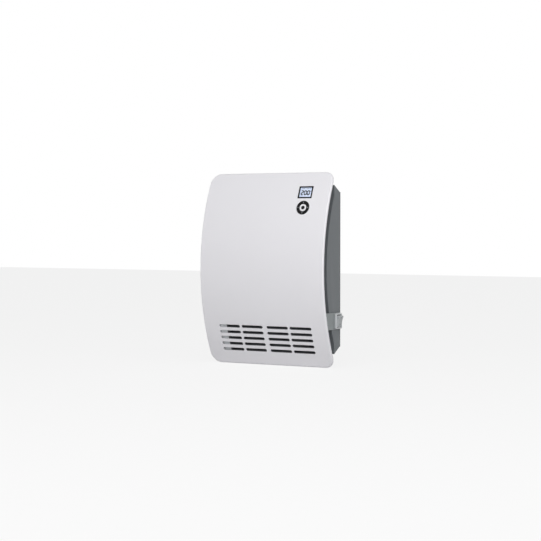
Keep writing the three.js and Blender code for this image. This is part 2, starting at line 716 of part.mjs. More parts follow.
const standoffPlaces = () => {
  const left = POWER_BOARD_LEFT + STANDOFF_INSET;
  const right = POWER_BOARD_LEFT + POWER_BOARD_WIDTH - STANDOFF_INSET;
  const low = POWER_BOARD_LOW + STANDOFF_INSET;
  const high = POWER_BOARD_LOW + POWER_BOARD_HEIGHT - STANDOFF_INSET;
  return [[left, low], [right, low], [right, high], [left, high]];
};

const FRAME_HALF_WIDTH = CASE_HALF_WIDTH - FRAME_STEP;
const switchMiddleY = -(SWITCH_BACK + SWITCH_LENGTH / 2);
const SWITCH_BODY_LENGTH = SWITCH_LENGTH - 2 * SWITCH_BORDER + SWITCH_BODY_MARGIN;
const SWITCH_BODY_HEIGHT = SWITCH_HEIGHT - 2 * SWITCH_BORDER + SWITCH_BODY_MARGIN;
const CONSOLE_FACE_X = CASE_HALF_WIDTH + CLEAR + CONSOLE_PLATE;
const [CONSOLE_LOW, CONSOLE_HIGH] = around(CONSOLE_MIDDLE, CONSOLE_HEIGHT);
const CONSOLE_FRONT_Y = bowY(CONSOLE_LOW, COVER_RIM) + CONSOLE_GAP;
const CONSOLE_FILL_Y = bowY(CONSOLE_HIGH, CASE_SETBACK) - CONSOLE_GAP; // back of its deep part

// The hole that the body of the switch goes through, in every wall that it crosses.
const switchHole = () =>
  slab(
    [FRAME_HALF_WIDTH - 4 * FRAME_WALL, CONSOLE_FACE_X + PAST],
    around(switchMiddleY, SWITCH_BODY_LENGTH + 2 * CLEAR),
    around(CONSOLE_MIDDLE, SWITCH_BODY_HEIGHT + 2 * CLEAR),
  );

function rearHousing() {
  const block = common(
    alongX(caseProfile(0, CASE_SETBACK, 0, CASE_END_DEPTH), around(0, 2 * CASE_HALF_WIDTH)),
    alongZ(casePlan(), around(0, 2 * COVER_HEIGHT), 4),
  );
  const hollow = alongX(
    caseProfile(CASE_WALL, CASE_SETBACK / 2, CASE_WALL),
    around(0, 2 * (CASE_HALF_WIDTH - CASE_WALL)),
  );
  const pocketHalf = [BRACKET_WIDTH / 2 + POCKET_MARGIN, BRACKET_HEIGHT / 2 + POCKET_MARGIN];
  const pad = slab(
    around(0, 2 * (pocketHalf[0] + CASE_WALL)),
    [-(CASE_WALL + POCKET_DEPTH), -CASE_WALL / 2],
    around(0, 2 * (pocketHalf[1] + CASE_WALL)),
  );
  const pocket = slab(around(0, 2 * pocketHalf[0]), [-POCKET_DEPTH, PAST], around(0, 2 * pocketHalf[1]));
  const hookSlots = [-HOOK_X, HOOK_X].map((x) =>
    slab(
      around(x, HOOK_WIDTH + 2 * HOOK_PLAY),
      [-3 * CASE_WALL, PAST],
      [HOOK_HEIGHT - HOOK_LIP - HOOK_PLAY, HOOK_HEIGHT + BRACKET_SHEET + CLEAR],
    ));
  const bosses = LUG_PLACES.map(([x, z]) =>
    cut(
      bar("y", BOSS_RADIUS, [-(CASE_WALL + BOSS_HEIGHT), -CASE_WALL / 2], [x, z], 14),
      bar("y", SCREW_RADIUS + CLEAR, [-2 * (CASE_WALL + BOSS_HEIGHT), BACK_FACE_Y], [x, z], 8),
    ));
  const standoffs = standoffPlaces().map(([x, z]) =>
    bar("y", STANDOFF_RADIUS, [-(POWER_BOARD_FROM_WALL - CLEAR), -CASE_WALL / 2], [x, z], 10));
  const cableHole = bar("y", CABLE_HOLE_RADIUS, [-3 * CASE_WALL, PAST], [CABLE_X, CABLE_Z], 20);
  const tray = cut(join(cut(block, hollow), pad, ...bosses, ...standoffs), pocket, ...hookSlots);
  return piece("rear_housing", cut(tray, cableHole, switchHole()), GREY_PLASTIC);
}

const FRAME_INNER_X = FRAME_HALF_WIDTH - FRAME_WALL;
const FRAME_BACK = CASE_WALL + CLEAR;

function intakeSlots() {
  const sides = steps(INTAKE_SIDE_COUNT - 1, (_, i) => {
    const z = INTAKE_SIDE_LOWEST + i * INTAKE_PITCH;
    const front = bowY(z, INTAKE_FRONT);
    const length = [front, front + INTAKE_LENGTH];
    return slab(around(0, 2 * CASE_HALF_WIDTH), length, around(z, INTAKE_HEIGHT));
  });
  const top = steps(INTAKE_TOP_COUNT - 1, (_, i) => {
    const x = (i - (INTAKE_TOP_COUNT - 1) / 2) * INTAKE_PITCH;
    return slab(
      around(x, INTAKE_HEIGHT),
      [-(INTAKE_TOP_BACK + INTAKE_TOP_LENGTH), -INTAKE_TOP_BACK],
      [CASE_HALF_HEIGHT - 4 * FRAME_DROP, CASE_HALF_HEIGHT],
    );
  });
  return [...sides, ...top];
}

function intakeFrame() {
  const outer = alongX(
    caseProfile(FRAME_BACK, LOUVRE_FACE, FRAME_DROP),
    around(0, 2 * FRAME_HALF_WIDTH),
  );
  const inner = alongX(
    caseProfile(FRAME_BACK / 2, 0, FRAME_DROP + FRAME_WALL),
    around(0, 2 * FRAME_INNER_X),
  );
  const lugs = LUG_PLACES.map(([x, z]) => {
    const side = Math.sign(x);
    const reach = [x - (side * LUG_SIZE) / 2, side * (FRAME_INNER_X + FRAME_WALL / 2)];
    return cut(
      slab(reach.sort((a, b) => a - b), [LUG_BACK_Y - LUG_THICK, LUG_BACK_Y], around(z, LUG_SIZE)),
      bar("y", SCREW_RADIUS + CLEAR, [LUG_BACK_Y - 2 * LUG_THICK, LUG_BACK_Y + PAST], [x, z], 8),
    );
  });
  const screwHoles = [-TAB_SPACING, TAB_SPACING].map((x) =>
    bar("z", SCREW_RADIUS + CLEAR, around(-CASE_HALF_HEIGHT, 8 * FRAME_DROP), [x, COVER_SCREW_Y], 8));
  const ring = cut(outer, inner, ...intakeSlots());
  const frame = cut(join(ring, ...lugs), ...screwHoles, switchHole());
  return piece("intake_frame", frame, DARK_GREY_PLASTIC);
}

// ---- Screws -------------------------------------------------------------------------------------

// A pan-head screw: its head starts at `seat`, and the shank runs from there along `way` (+1 or -1).
function screw(axis, seat, way, [a, b], length = SCREW_LENGTH, radius = SCREW_RADIUS) {
  const span = (from, to) => [seat + way * from, seat + way * to].sort((low, high) => low - high);
  const head = bar(axis, 2 * radius, span(-SCREW_HEAD_HEIGHT, 0), [a, b], 12);
  const shank = bar(axis, radius, span(-INTO, length), [a, b], 8);
  const depth = span(-SCREW_HEAD_HEIGHT - PAST, SCREW_SLOT_DEPTH - SCREW_HEAD_HEIGHT);
  const across = around(a, 4 * radius + PAST);
  const narrow = around(b, SCREW_SLOT_WIDTH);
  const slot = { x: [depth, across, narrow], y: [across, depth, narrow], z: [across, narrow, depth] };
  return cut(join(head, shank), slab(...slot[axis]));
}

function casingScrews() {
  const lugFace = LUG_BACK_Y - LUG_THICK - CLEAR;
  const frameScrews = LUG_PLACES.map((at, i) =>
    piece("frame_screw_" + (i + 1), screw("y", lugFace, 1, at), STEEL));
  const tabFace = -(COVER_TAB_Z + TAB_THICK + CLEAR);
  const coverScrews = [-TAB_SPACING, TAB_SPACING].map((x, i) => {
    const shape = screw("z", tabFace, 1, [x, COVER_SCREW_Y], COVER_SCREW_LENGTH);
    return piece("cover_screw_" + (i + 1), shape, STEEL);
  });
  return [...frameScrews, ...coverScrews];
}

// ---- Mains switch -------------------------------------------------------------------------------

function switchConsole() {
  const height = [CONSOLE_LOW, CONSOLE_HIGH];
  const seat = CASE_HALF_WIDTH + CLEAR;
  const plate = slab([seat, CONSOLE_FACE_X], [CONSOLE_FRONT_Y, -CONSOLE_BACK], height);
  const fill = slab(
    [FRAME_HALF_WIDTH + CLEAR, CONSOLE_FACE_X - INTO],
    [CONSOLE_FRONT_Y, CONSOLE_FILL_Y],
    height,
  );
  const wall = CONSOLE_PLATE;
  const hollow = slab(
    [FRAME_HALF_WIDTH - PAST, seat],
    grow([CONSOLE_FRONT_Y, CONSOLE_FILL_Y], -wall),
    grow(height, -wall),
  );
  return piece("switch_console", cut(join(plate, fill), hollow, switchHole()), CONSOLE_PLASTIC);
}

const BEZEL_INSIDE = [SWITCH_LENGTH - 2 * SWITCH_BORDER, SWITCH_HEIGHT - 2 * SWITCH_BORDER];

function switchBezel() {
  const from = CONSOLE_FACE_X + CLEAR;
  const side = roundedRectangle(
    around(switchMiddleY, SWITCH_LENGTH),
    around(CONSOLE_MIDDLE, SWITCH_HEIGHT),
    SWITCH_CORNER,
  );
  const inside = slab(
    [from - PAST, from + SWITCH_BEZEL + PAST],
    around(switchMiddleY, BEZEL_INSIDE[0]),
    around(CONSOLE_MIDDLE, BEZEL_INSIDE[1]),
  );
  const rim = alongX(side, [from, from + SWITCH_BEZEL], 3);
  return piece("switch_bezel", cut(rim, inside), PALE_PLASTIC);
}

const ROCKER_PIVOT_X = CONSOLE_FACE_X + CLEAR + SWITCH_BEZEL - ROCKER_SINK;

// The rocker, level about its pivot, in a group that is tilted to the side that is pressed in.
function switchRocker() {
  const halfHeight = BEZEL_INSIDE[1] / 2 - ROCKER_PLAY;
  const proud = ROCKER_SINK + ROCKER_PROUD;
  const tip = proud - ROCKER_ROUND / 2;
  const shape = new THREE.Shape();
  shape.moveTo(0, -halfHeight);
  shape.lineTo(tip, ROCKER_DRAFT - halfHeight);
  shape.quadraticCurveTo(proud, ROCKER_DRAFT - halfHeight, proud, ROCKER_ROUND - halfHeight);
  shape.quadraticCurveTo(proud - ROCKER_DISH, 0, proud, halfHeight - ROCKER_ROUND);
  shape.quadraticCurveTo(proud, halfHeight - ROCKER_DRAFT, tip, halfHeight - ROCKER_DRAFT);
  shape.lineTo(0, halfHeight);
  const depth = BEZEL_INSIDE[0] - 2 * CLEAR;
  const cap = extruded(shape, depth, 5)
    .applyMatrix4(basis(AXIS.x, AXIS.z, AXIS.back))
    .translate(0, depth / 2, 0);
  const group = new THREE.Group();
  group.position.set(ROCKER_PIVOT_X, switchMiddleY, CONSOLE_MIDDLE);
  group.rotation.y = degrees(ROCKER_TILT);
  group.add(piece("switch_rocker", cap, PALE_PLASTIC));
  return group;
}

function switchBody() {
  const face = CONSOLE_FACE_X + CLEAR - SWITCH_BODY_SINK;
  const block = slab(
    [face - SWITCH_BODY_DEPTH, face],
    around(switchMiddleY, SWITCH_BODY_LENGTH),
    around(CONSOLE_MIDDLE, SWITCH_BODY_HEIGHT),
  );
  const pocketReach = Math.tan(degrees(ROCKER_TILT)) * (BEZEL_INSIDE[1] / 2) + ROCKER_SINK;
  const well = slab(
    [ROCKER_PIVOT_X - pocketReach - ROCKER_PLAY, face + PAST],
    around(switchMiddleY, BEZEL_INSIDE[0] - SWITCH_BODY_MARGIN),
    around(CONSOLE_MIDDLE, BEZEL_INSIDE[1] - SWITCH_BODY_MARGIN / 2),
  );
  const back = face - SWITCH_BODY_DEPTH;
  const tags = [-1, 0, 1].map((i) =>
    slab(
      [back - SWITCH_TAG_LENGTH, back + INTO],
      around(switchMiddleY, SWITCH_TAG_WIDTH),
      around(CONSOLE_MIDDLE + i * SWITCH_TAG_PITCH, SWITCH_TAG_THICK),
    ));
  return piece("switch_body", join(cut(block, well), ...tags), BLACK_NYLON);
}

// ---- Tangential fan -----------------------------------------------------------------------------

const FAN_Y = -FAN_FROM_WALL;
const FAN_AXIS = [FAN_Y, FAN_HEIGHT];
const polar = (radius, angle) => [
  FAN_Y + radius * Math.cos(angle),
  FAN_HEIGHT + radius * Math.sin(angle),
];

// Section of one blade: a strip whose angle runs ahead towards its outer edge.
function bladeSection(start) {
  const along = (t) => FAN_INNER_RADIUS + (FAN_RADIUS - FAN_LIP - FAN_INNER_RADIUS) * t;
  const edge = (t, side) => {
    const radius = along(t);
    const lean = degrees(FAN_BLADE_SWEEP) * t ** FAN_BLADE_CURL;
    return polar(radius, start + lean + (side * FAN_BLADE_THICK) / 2 / radius);
  };
  return outline([...steps(2, (t) => edge(t, -1)), ...steps(2, (t) => edge(1 - t, 1))]);
}

function fanImpeller() {
  const blades = steps(FAN_BLADES - 1, (_, i) =>
    alongX(bladeSection((i * 2 * Math.PI) / FAN_BLADES), grow([FAN_LEFT, FAN_RIGHT], -INTO)));
  const middle = (FAN_LEFT + FAN_RIGHT) / 2;
  const disc = (from) => bar("x", FAN_RADIUS, [from, from + FAN_DISC], FAN_AXIS, 32);
  const rib = cut(
    disc(middle - FAN_DISC / 2),
    bar("x", FAN_INNER_RADIUS - FAN_DISC, around(middle, 4 * FAN_DISC), FAN_AXIS, 22),
  );
  const hubSpans = [
    [FAN_LEFT, FAN_LEFT + FAN_HUB_LENGTH],
    [FAN_RIGHT - FAN_HUB_LENGTH, FAN_RIGHT],
  ];
  const hubs = hubSpans.map((span) => bar("x", FAN_HUB_RADIUS, grow(span, -INTO / 2), FAN_AXIS));
  const bores = hubSpans.map((span) => bar("x", SHAFT_RADIUS + CLEAR, grow(span, PAST), FAN_AXIS));
  const discs = [disc(FAN_LEFT), rib, disc(FAN_RIGHT - FAN_DISC)];
  return piece("fan_impeller", cut(join(...discs, ...blades, ...hubs), ...bores), BLACK_NYLON);
}

// ---- Scroll, tongue and duct --------------------------------------------------------------------

const SCROLL_LEFT = FAN_LEFT - SCROLL_END_GAP;
const SCROLL_RIGHT = FAN_RIGHT + SCROLL_END_GAP;

// Inner or outer face of the spiral wall, from the inlet lip down to the chute.
const spiral = (offset) =>
  steps(14, (t) => {
    const radius = FAN_RADIUS + SCROLL_GAP + SCROLL_GROWTH * t + offset;
    return polar(radius, degrees(SCROLL_START + (SCROLL_END - SCROLL_START) * t));
  });

function fanScroll() {
  const chute = (offset) => [
    [-CHUTE_BACK + offset, CHUTE_TOP],
    [-CHUTE_BACK + offset, SCROLL_BOTTOM],
  ];
  const wall = outline([
    ...spiral(0),
    ...chute(0),
    ...chute(SCROLL_WALL).reverse(),
    ...spiral(SCROLL_WALL).reverse(),
  ]);
  const front = -CHUTE_FRONT - 2 * SCROLL_WALL;
  const back = -CHUTE_BACK + SCROLL_WALL;
  const bulge = FAN_Y + FAN_RADIUS + SCROLL_GAP + SCROLL_GROWTH;
  const [lowerFoot, upperFoot] = [LOWER_FOOT_Z, UPPER_FOOT_Z].map((z) => around(z, FOOT_HEIGHT));
  const plate = outline([
    [front, SCROLL_BOTTOM],
    [back, SCROLL_BOTTOM],
    [back, lowerFoot[0]],
    [POCKET_FACE_Y, lowerFoot[0]],
    [POCKET_FACE_Y, lowerFoot[1]],
    [back, lowerFoot[1] + SCROLL_WALL],
    [back + SCROLL_WALL, CHUTE_TOP],
    [bulge, FAN_HEIGHT - FAN_RADIUS / 2],
    [bulge, FAN_HEIGHT],
    [POCKET_FACE_Y, upperFoot[0]],
    [POCKET_FACE_Y, upperFoot[1]],
    [FAN_Y + FAN_RADIUS / 2, SCROLL_TOP],
    [FAN_Y - FAN_RADIUS / 2, SCROLL_TOP],
    [front, FAN_HEIGHT + FAN_RADIUS / 2],
  ]);
  const holes = [
    bar("x", BUSH_MOUNT_RADIUS + CLEAR, around(SCROLL_LEFT, 4 * SCROLL_WALL), FAN_AXIS),
    bar("x", 2 * SHAFT_RADIUS, around(SCROLL_RIGHT, 4 * SCROLL_WALL), FAN_AXIS),
  ];
  const ends = [
    alongX(plate, [SCROLL_LEFT - SCROLL_WALL, SCROLL_LEFT]),
    alongX(plate, [SCROLL_RIGHT, SCROLL_RIGHT + SCROLL_WALL]),
  ];
  const spine = alongX(wall, grow([SCROLL_LEFT, SCROLL_RIGHT], INTO));
  const screwHoles = [-1, 1].map((side) =>
    bar(
      "x",
      MOTOR_SCREW_RADIUS + CLEAR,
      around(SCROLL_RIGHT, 4 * SCROLL_WALL),
      [FAN_Y + side * MOTOR_SCREW_SPACING, FAN_HEIGHT],
      8,
    ));
  return piece("fan_scroll", cut(join(...ends, spine), ...holes, ...screwHoles), GALVANISED);
}

// The tongue: a rounded nose close to the fan, and the front wall of the chute below it.
function fanTongue() {
  const noseY = -CHUTE_FRONT - SCROLL_WALL + TONGUE_NOSE;
  const drop = Math.sqrt((FAN_RADIUS + TONGUE_GAP + TONGUE_NOSE) ** 2 - (noseY - FAN_Y) ** 2);
  const noseZ = FAN_HEIGHT - drop;
  const span = [SCROLL_LEFT + CLEAR, SCROLL_RIGHT - CLEAR];
  const nose = bar("x", TONGUE_NOSE, span, [noseY, noseZ], 12);
  const wall = slab(span, [-CHUTE_FRONT - SCROLL_WALL, -CHUTE_FRONT], [SCROLL_BOTTOM, noseZ]);
  return piece("fan_tongue", join(nose, wall), GALVANISED);
}

const DUCT_HALF_WIDTH = FRAME_INNER_X - DUCT_SIDE_GAP;
const LOWEST_SLOT = slotRowHeight(SLOT_ROWS - 1) - SLOT_HEIGHT / 2;
const DUCT_BOTTOM = LOWEST_SLOT - DUCT_WALL - DUCT_FLOOR_GAP;

function outletDuct() {
  const top = SCROLL_BOTTOM - CLEAR;
  const mouth = LOUVRE_BACK + CLEAR;
  const section = (wall, inset) => {
    const shape = new THREE.Shape();
    const backY = -CHUTE_BACK + SCROLL_WALL + DUCT_WALL - wall;
    const floor = DUCT_BOTTOM + wall;
    shape.moveTo(backY, top - wall);
    shape.lineTo(-CHUTE_FRONT - SCROLL_WALL - DUCT_WALL + wall, top - wall);
    for (const [y, z] of bowPoints(inset, DUCT_MOUTH_TOP - wall, floor, 5)) shape.lineTo(y, z);
    shape.quadraticCurveTo(backY, floor + DUCT_BEND_RISE, backY, top - DUCT_BEND);
    return shape;
  };
  const inside = around(0, 2 * (DUCT_HALF_WIDTH - DUCT_WALL));
  const blank = LOUVRE_FACE + BLANK_SETBACK;
  const outer = join(
    alongX(section(0, mouth), around(0, 2 * DUCT_HALF_WIDTH)),
    alongX(section(0, blank), [-DUCT_HALF_WIDTH, BLANK_EDGE_X]),
  );
  const inner = join(
    alongX(section(DUCT_WALL, mouth), inside),
    alongX(section(DUCT_WALL, mouth - 3 * DUCT_WALL), [BLANK_EDGE_X, inside[1]]),
    alongX(section(DUCT_WALL, blank + DUCT_WALL), [inside[0], BLANK_EDGE_X - DUCT_WALL]),
  );
  const inlet = slab(
    [SCROLL_LEFT, SCROLL_RIGHT],
    [-CHUTE_FRONT, -CHUTE_BACK],
    around(top, 4 * DUCT_WALL),
  );
  const feet = [-DUCT_FOOT_X, DUCT_FOOT_X].map((x) =>
    slab(
      around(x, DUCT_FOOT_WIDTH),
      [-CHUTE_BACK + SCROLL_WALL + DUCT_WALL - INTO, BACK_FACE_Y],
      around(top - DUCT_FOOT_DROP - DUCT_WALL / 2, DUCT_WALL),
    ));
  return piece("outlet_duct", join(cut(outer, inner, inlet), ...feet), PALE_PLASTIC);
}

// ---- Heating element ----------------------------------------------------------------------------

const HEATER_GAP_Y = [-CHUTE_FRONT + CLEAR, -CHUTE_BACK - CLEAR];
const HEATER_SPAN_X = [SCROLL_LEFT + CLEAR, SCROLL_RIGHT - CLEAR];
const HEATER_MIDDLE_Y = -(CHUTE_FRONT + CHUTE_BACK) / 2;
const HEATER_MIDDLE_Z = (HEATER_TOP + HEATER_BOTTOM) / 2;
const BAND_PLACES = [-1, 1].flatMap((side) =>
  [-1, 1].map((level) => [
    HEATER_MIDDLE_Y + (side * BAND_SPACING_Y) / 2,
    HEATER_MIDDLE_Z + (level * BAND_SPACING_Z) / 2,
  ]));

function heaterFrame() {
  const frame = cut(
    slab(HEATER_SPAN_X, HEATER_GAP_Y, [HEATER_BOTTOM, HEATER_TOP]),
    slab(
      grow(HEATER_SPAN_X, -HEATER_SHEET),
      grow(HEATER_GAP_Y, -HEATER_SHEET),
      grow([HEATER_BOTTOM, HEATER_TOP], PAST),
    ),
  );
  return piece("heater_frame", frame, GALVANISED);
}

function micaCards() {
  const first = HEATER_SPAN_X[0] + HEATER_SHEET + CLEAR;
  const last = HEATER_SPAN_X[1] - HEATER_SHEET - CLEAR - CARD_THICK;
  return [first, (first + last) / 2, last].map((x, i) => {
    const card = slab(
      [x, x + CARD_THICK],
      [HEATER_GAP_Y[0] + HEATER_SHEET + CLEAR, HEATER_GAP_Y[1] - HEATER_SHEET - CLEAR],
      grow([HEATER_BOTTOM, HEATER_TOP], -CARD_MARGIN),
    );
    const notches = BAND_PLACES.map(([y, z]) =>
      slab(
        grow([x, x + CARD_THICK], PAST),
        around(y, BAND_WIDTH + 2 * CLEAR),
        around(z, 2 * BAND_SWING + BAND_THICK + 2 * CLEAR),
      ));
    return piece("mica_card_" + (i + 1), cut(card, ...notches), MICA);
  });
}

// A flat wire folded to and fro along X, between the two end sheets of the frame.
function heatingBands() {
  const from = HEATER_SPAN_X[0] + HEATER_SHEET + CLEAR;
  const to = HEATER_SPAN_X[1] - HEATER_SHEET - CLEAR;
  const folds = 2 * Math.floor((to - from) / BAND_PITCH);
  return BAND_PLACES.map(([y, z], i) => {
    const side = (offset) =>
      steps(folds, (t, fold) => {
        const swing = fold % 2 ? BAND_SWING : -BAND_SWING;
        return [from + (to - from) * t, z + swing + offset];
      });
    const shape = outline([...side(-BAND_THICK / 2), ...side(BAND_THICK / 2).reverse()]);
    return piece("heating_band_" + (i + 1), alongY(shape, around(y, BAND_WIDTH)), STEEL);
  });
}

function thermalCutout() {
  const x = (SCROLL_LEFT + SCROLL_RIGHT) / 2;
  const back = -CHUTE_FRONT - SCROLL_WALL - CLEAR;
  const face = back - CUTOUT_THICK;
  const can = bar("y", CUTOUT_RADIUS, [face, back], [x, HEATER_MIDDLE_Z]);
  const tags = [-CUTOUT_TAG_X, CUTOUT_TAG_X].map((offset) =>
    slab(
      around(x + offset, CUTOUT_TAG_WIDTH),
      [face - CUTOUT_TAG_LENGTH, face + INTO],
      around(HEATER_MIDDLE_Z, CUTOUT_TAG_THICK),
    ));
  return piece("thermal_cutout", join(can, ...tags), BLACK_NYLON);
}

// ---- Motor --------------------------------------------------------------------------------------

const PLATE_FACE_X = SCROLL_RIGHT + SCROLL_WALL;
const STACK_X = [PLATE_FACE_X + STACK_FROM_PLATE, PLATE_FACE_X + STACK_FROM_PLATE + STACK_THICK];
const WINDOW_TOP = FAN_HEIGHT - STACK_BELOW + LIMB_HEIGHT + WINDOW_HEIGHT;
const MOTOR_SCREW_PLACES = [-1, 1].map((side) => [FAN_Y + side * MOTOR_SCREW_SPACING, FAN_HEIGHT]);
const screwClearance = (span) => MOTOR_SCREW_PLACES.map((at) =>
  bar("x", MOTOR_SCREW_RADIUS + CLEAR, span, at, 8));

function motorStator() {
  const stack = slab(
    STACK_X,
    around(FAN_Y, STACK_WIDTH),
    [FAN_HEIGHT - STACK_BELOW, FAN_HEIGHT + STACK_ABOVE],
  );
  const through = grow(STACK_X, PAST);
  const bore = bar("x", ROTOR_RADIUS + ROTOR_GAP, through, FAN_AXIS, 24);
  const window = slab(
    through,
    around(FAN_Y, COIL_LENGTH + 2 * CLEAR),
    [WINDOW_TOP - WINDOW_HEIGHT, WINDOW_TOP],
  );
  return piece("motor_stator", cut(stack, bore, window, ...screwClearance(through)), LAMINATIONS);
}

// The coil is wound round the lower limb of the stack.
function motorCoil() {
  const limb = [FAN_HEIGHT - STACK_BELOW - CLEAR, WINDOW_TOP - WINDOW_HEIGHT + CLEAR];
  const coil = cut(
    slab(grow(STACK_X, COIL_WALL), around(FAN_Y, COIL_LENGTH), grow(limb, COIL_WALL)),
    slab(grow(STACK_X, CLEAR), around(FAN_Y, 2 * COIL_LENGTH), limb),
  );
  return piece("motor_coil", coil, COPPER);
}

// A bridge carries the shaft in its middle and stands on the stack with its two ends.
function motorBridge(name, way) {
  const seat = way < 0 ? STACK_X[0] - CLEAR : STACK_X[1] + CLEAR;
  const span = (from, to) => [seat + way * from, seat + way * to].sort((low, high) => low - high);
  const height = around(FAN_HEIGHT, BRIDGE_HEIGHT);
  const far = BRIDGE_REACH + BRIDGE_THICK;
  const strap = slab(span(BRIDGE_REACH, far), around(FAN_Y, STACK_WIDTH - BRIDGE_MARGIN), height);
  const feet = MOTOR_SCREW_PLACES.map(([y]) =>
    slab(span(0, BRIDGE_REACH + INTO), around(y, BRIDGE_FOOT), height));
  const boss = bar("x", BRIDGE_BOSS_RADIUS, span(far - BRIDGE_BOSS, far + INTO), FAN_AXIS, 14);
  const bore = bar("x", SHAFT_RADIUS + CLEAR, span(0, 3 * BRIDGE_REACH), FAN_AXIS, 12);
  const holes = screwClearance(span(-PAST, far + PAST));
  return piece(name, cut(join(strap, ...feet, boss), bore, ...holes), GALVANISED);
}

function motorScrews() {
  const seat = STACK_X[1] + CLEAR + BRIDGE_REACH + BRIDGE_THICK + CLEAR;
  const length = seat - SCROLL_RIGHT - INTO;
  return MOTOR_SCREW_PLACES.map((at, i) =>
    piece("motor_screw_" + (i + 1), screw("x", seat, -1, at, length, MOTOR_SCREW_RADIUS), STEEL));
}

// What turns with the fan: shaft and rotor of the motor, and the pin of the free end.
function turningPieces() {
  const end = STACK_X[1] + BRIDGE_REACH + BRIDGE_THICK + SHAFT_TAIL;
  const shaft = bar("x", SHAFT_RADIUS, [FAN_RIGHT - FAN_HUB_LENGTH, end], FAN_AXIS);
  const rotor = cut(
    bar("x", ROTOR_RADIUS, grow(STACK_X, ROTOR_OVERHANG), FAN_AXIS, 24),
    bar("x", SHAFT_RADIUS + CLEAR, grow(STACK_X, PAST), FAN_AXIS),
  );
  const left = SCROLL_LEFT - BUSH_LENGTH - ROTOR_OVERHANG;
  const pin = bar("x", SHAFT_RADIUS, [left, FAN_LEFT + FAN_HUB_LENGTH], FAN_AXIS);
  return [
    piece("motor_shaft", shaft, STEEL),
    piece("motor_rotor", rotor, LAMINATIONS),
    piece("fan_stub_pin", pin, STEEL),
  ];
}

function freeEndBearing() {
  const middle = SCROLL_LEFT - SCROLL_WALL / 2;
  const bush = cut(
    bar("x", BUSH_RADIUS, around(middle, BUSH_LENGTH), FAN_AXIS),
    bar("x", SHAFT_RADIUS + CLEAR, around(middle, 2 * BUSH_LENGTH), FAN_AXIS),
  );
  const flange = [middle - BUSH_LENGTH / 2, middle - SCROLL_WALL / 2 - CLEAR];
  const mount = cut(
    join(
      bar("x", BUSH_MOUNT_RADIUS, around(middle, BUSH_LENGTH), FAN_AXIS),
      bar("x", BUSH_FLANGE_RADIUS, flange, FAN_AXIS),
    ),
    bar("x", BUSH_RADIUS + CLEAR, around(middle, 2 * BUSH_LENGTH), FAN_AXIS),
  );
  return [piece("fan_bush", bush, BRONZE), piece("fan_bush_mount", mount, BLACK_RUBBER)];
}

// ---- Wall bracket -------------------------------------------------------------------------------

function wallBracket() {
  const plate = alongY(
    roundedRectangle(around(0, BRACKET_WIDTH), around(0, BRACKET_HEIGHT), BRACKET_CORNER),
    [-BRACKET_SHEET, 0],
    3,
  );
  const slots = [-1, 1].flatMap((sx) => [-1, 1].map((sz) => {
    const x = around(sx * BRACKET_SLOT_X, BRACKET_SLOT_LENGTH);
    const z = around(sz * BRACKET_SLOT_Z, BRACKET_SLOT_WIDTH);
    return alongY(stadium(x, z), grow([-BRACKET_SHEET, 0], PAST), 2);
  }));
  const hooks = [-HOOK_X, HOOK_X].flatMap((x) => [
    slab(
      around(x, HOOK_WIDTH),
      [-HOOK_REACH, -BRACKET_SHEET / 2],
      [HOOK_HEIGHT, HOOK_HEIGHT + BRACKET_SHEET],
    ),
    slab(
      around(x, HOOK_WIDTH),
      [-HOOK_REACH, -HOOK_REACH + BRACKET_SHEET],
      [HOOK_HEIGHT, HOOK_HEIGHT + HOOK_LIP],
    ),
  ]);
  return piece("wall_bracket", cut(join(plate, ...hooks), ...slots), GALVANISED);
}

// ---- Electrics ----------------------------------------------------------------------------------

function powerElectronics() {
  const back = -POWER_BOARD_FROM_WALL;
  const board = slab(
    [POWER_BOARD_LEFT, POWER_BOARD_LEFT + POWER_BOARD_WIDTH],
    [back - BOARD_THICK, back],
    [POWER_BOARD_LOW, POWER_BOARD_LOW + POWER_BOARD_HEIGHT],
  );
  const seat = back - BOARD_THICK - CLEAR;
  const middle = POWER_BOARD_LOW + POWER_BOARD_HEIGHT / 2;
  const relays = [0, 1].map((i) => {
    const x = POWER_BOARD_LEFT + STANDOFF_INSET + RELAY_WIDTH / 2 + i * (RELAY_WIDTH + 4);
    const body = slab(around(x, RELAY_WIDTH), [seat - RELAY_DEPTH, seat], around(middle, RELAY_HEIGHT));
    return piece("relay_" + (i + 1), body, BLACK_NYLON);
  });
  const coreX = POWER_BOARD_LEFT + POWER_BOARD_WIDTH - TRANSFORMER_INSET;
  const yokes = grow([seat - TRANSFORMER_DEPTH, seat], -TRANSFORMER_STEP);
  const winding = TRANSFORMER_SIZE - 2 * TRANSFORMER_STEP;
  const transformer = join(
    slab(around(coreX, TRANSFORMER_SIZE), yokes, around(middle, TRANSFORMER_SIZE)),
    slab(around(coreX, winding), [seat - TRANSFORMER_DEPTH, seat], around(middle, winding)),
  );
  return [
    piece("power_board", board, CIRCUIT_BOARD),
    ...relays,
    piece("transformer", transformer, LAMINATIONS),
  ];
}

function mainsConnection() {
  const block = slab(
    around(TERMINAL_X, TERMINAL_WIDTH),
    [BACK_FACE_Y - TERMINAL_DEPTH, BACK_FACE_Y],
    around(TERMINAL_Z, TERMINAL_HEIGHT),
  );
  const face = BACK_FACE_Y - TERMINAL_DEPTH;
  const wells = [-1, 0, 1].map((i) =>
    bar(
      "y",
      TERMINAL_WELL_RADIUS,
      [face - PAST, face + TERMINAL_WELL_DEPTH],
      [TERMINAL_X + i * TERMINAL_PITCH, TERMINAL_Z],
      10,
    ));
  return [piece("terminal_block", cut(block, ...wells), CREAM_NYLON), cableGrommet(), cableClamp()];
}

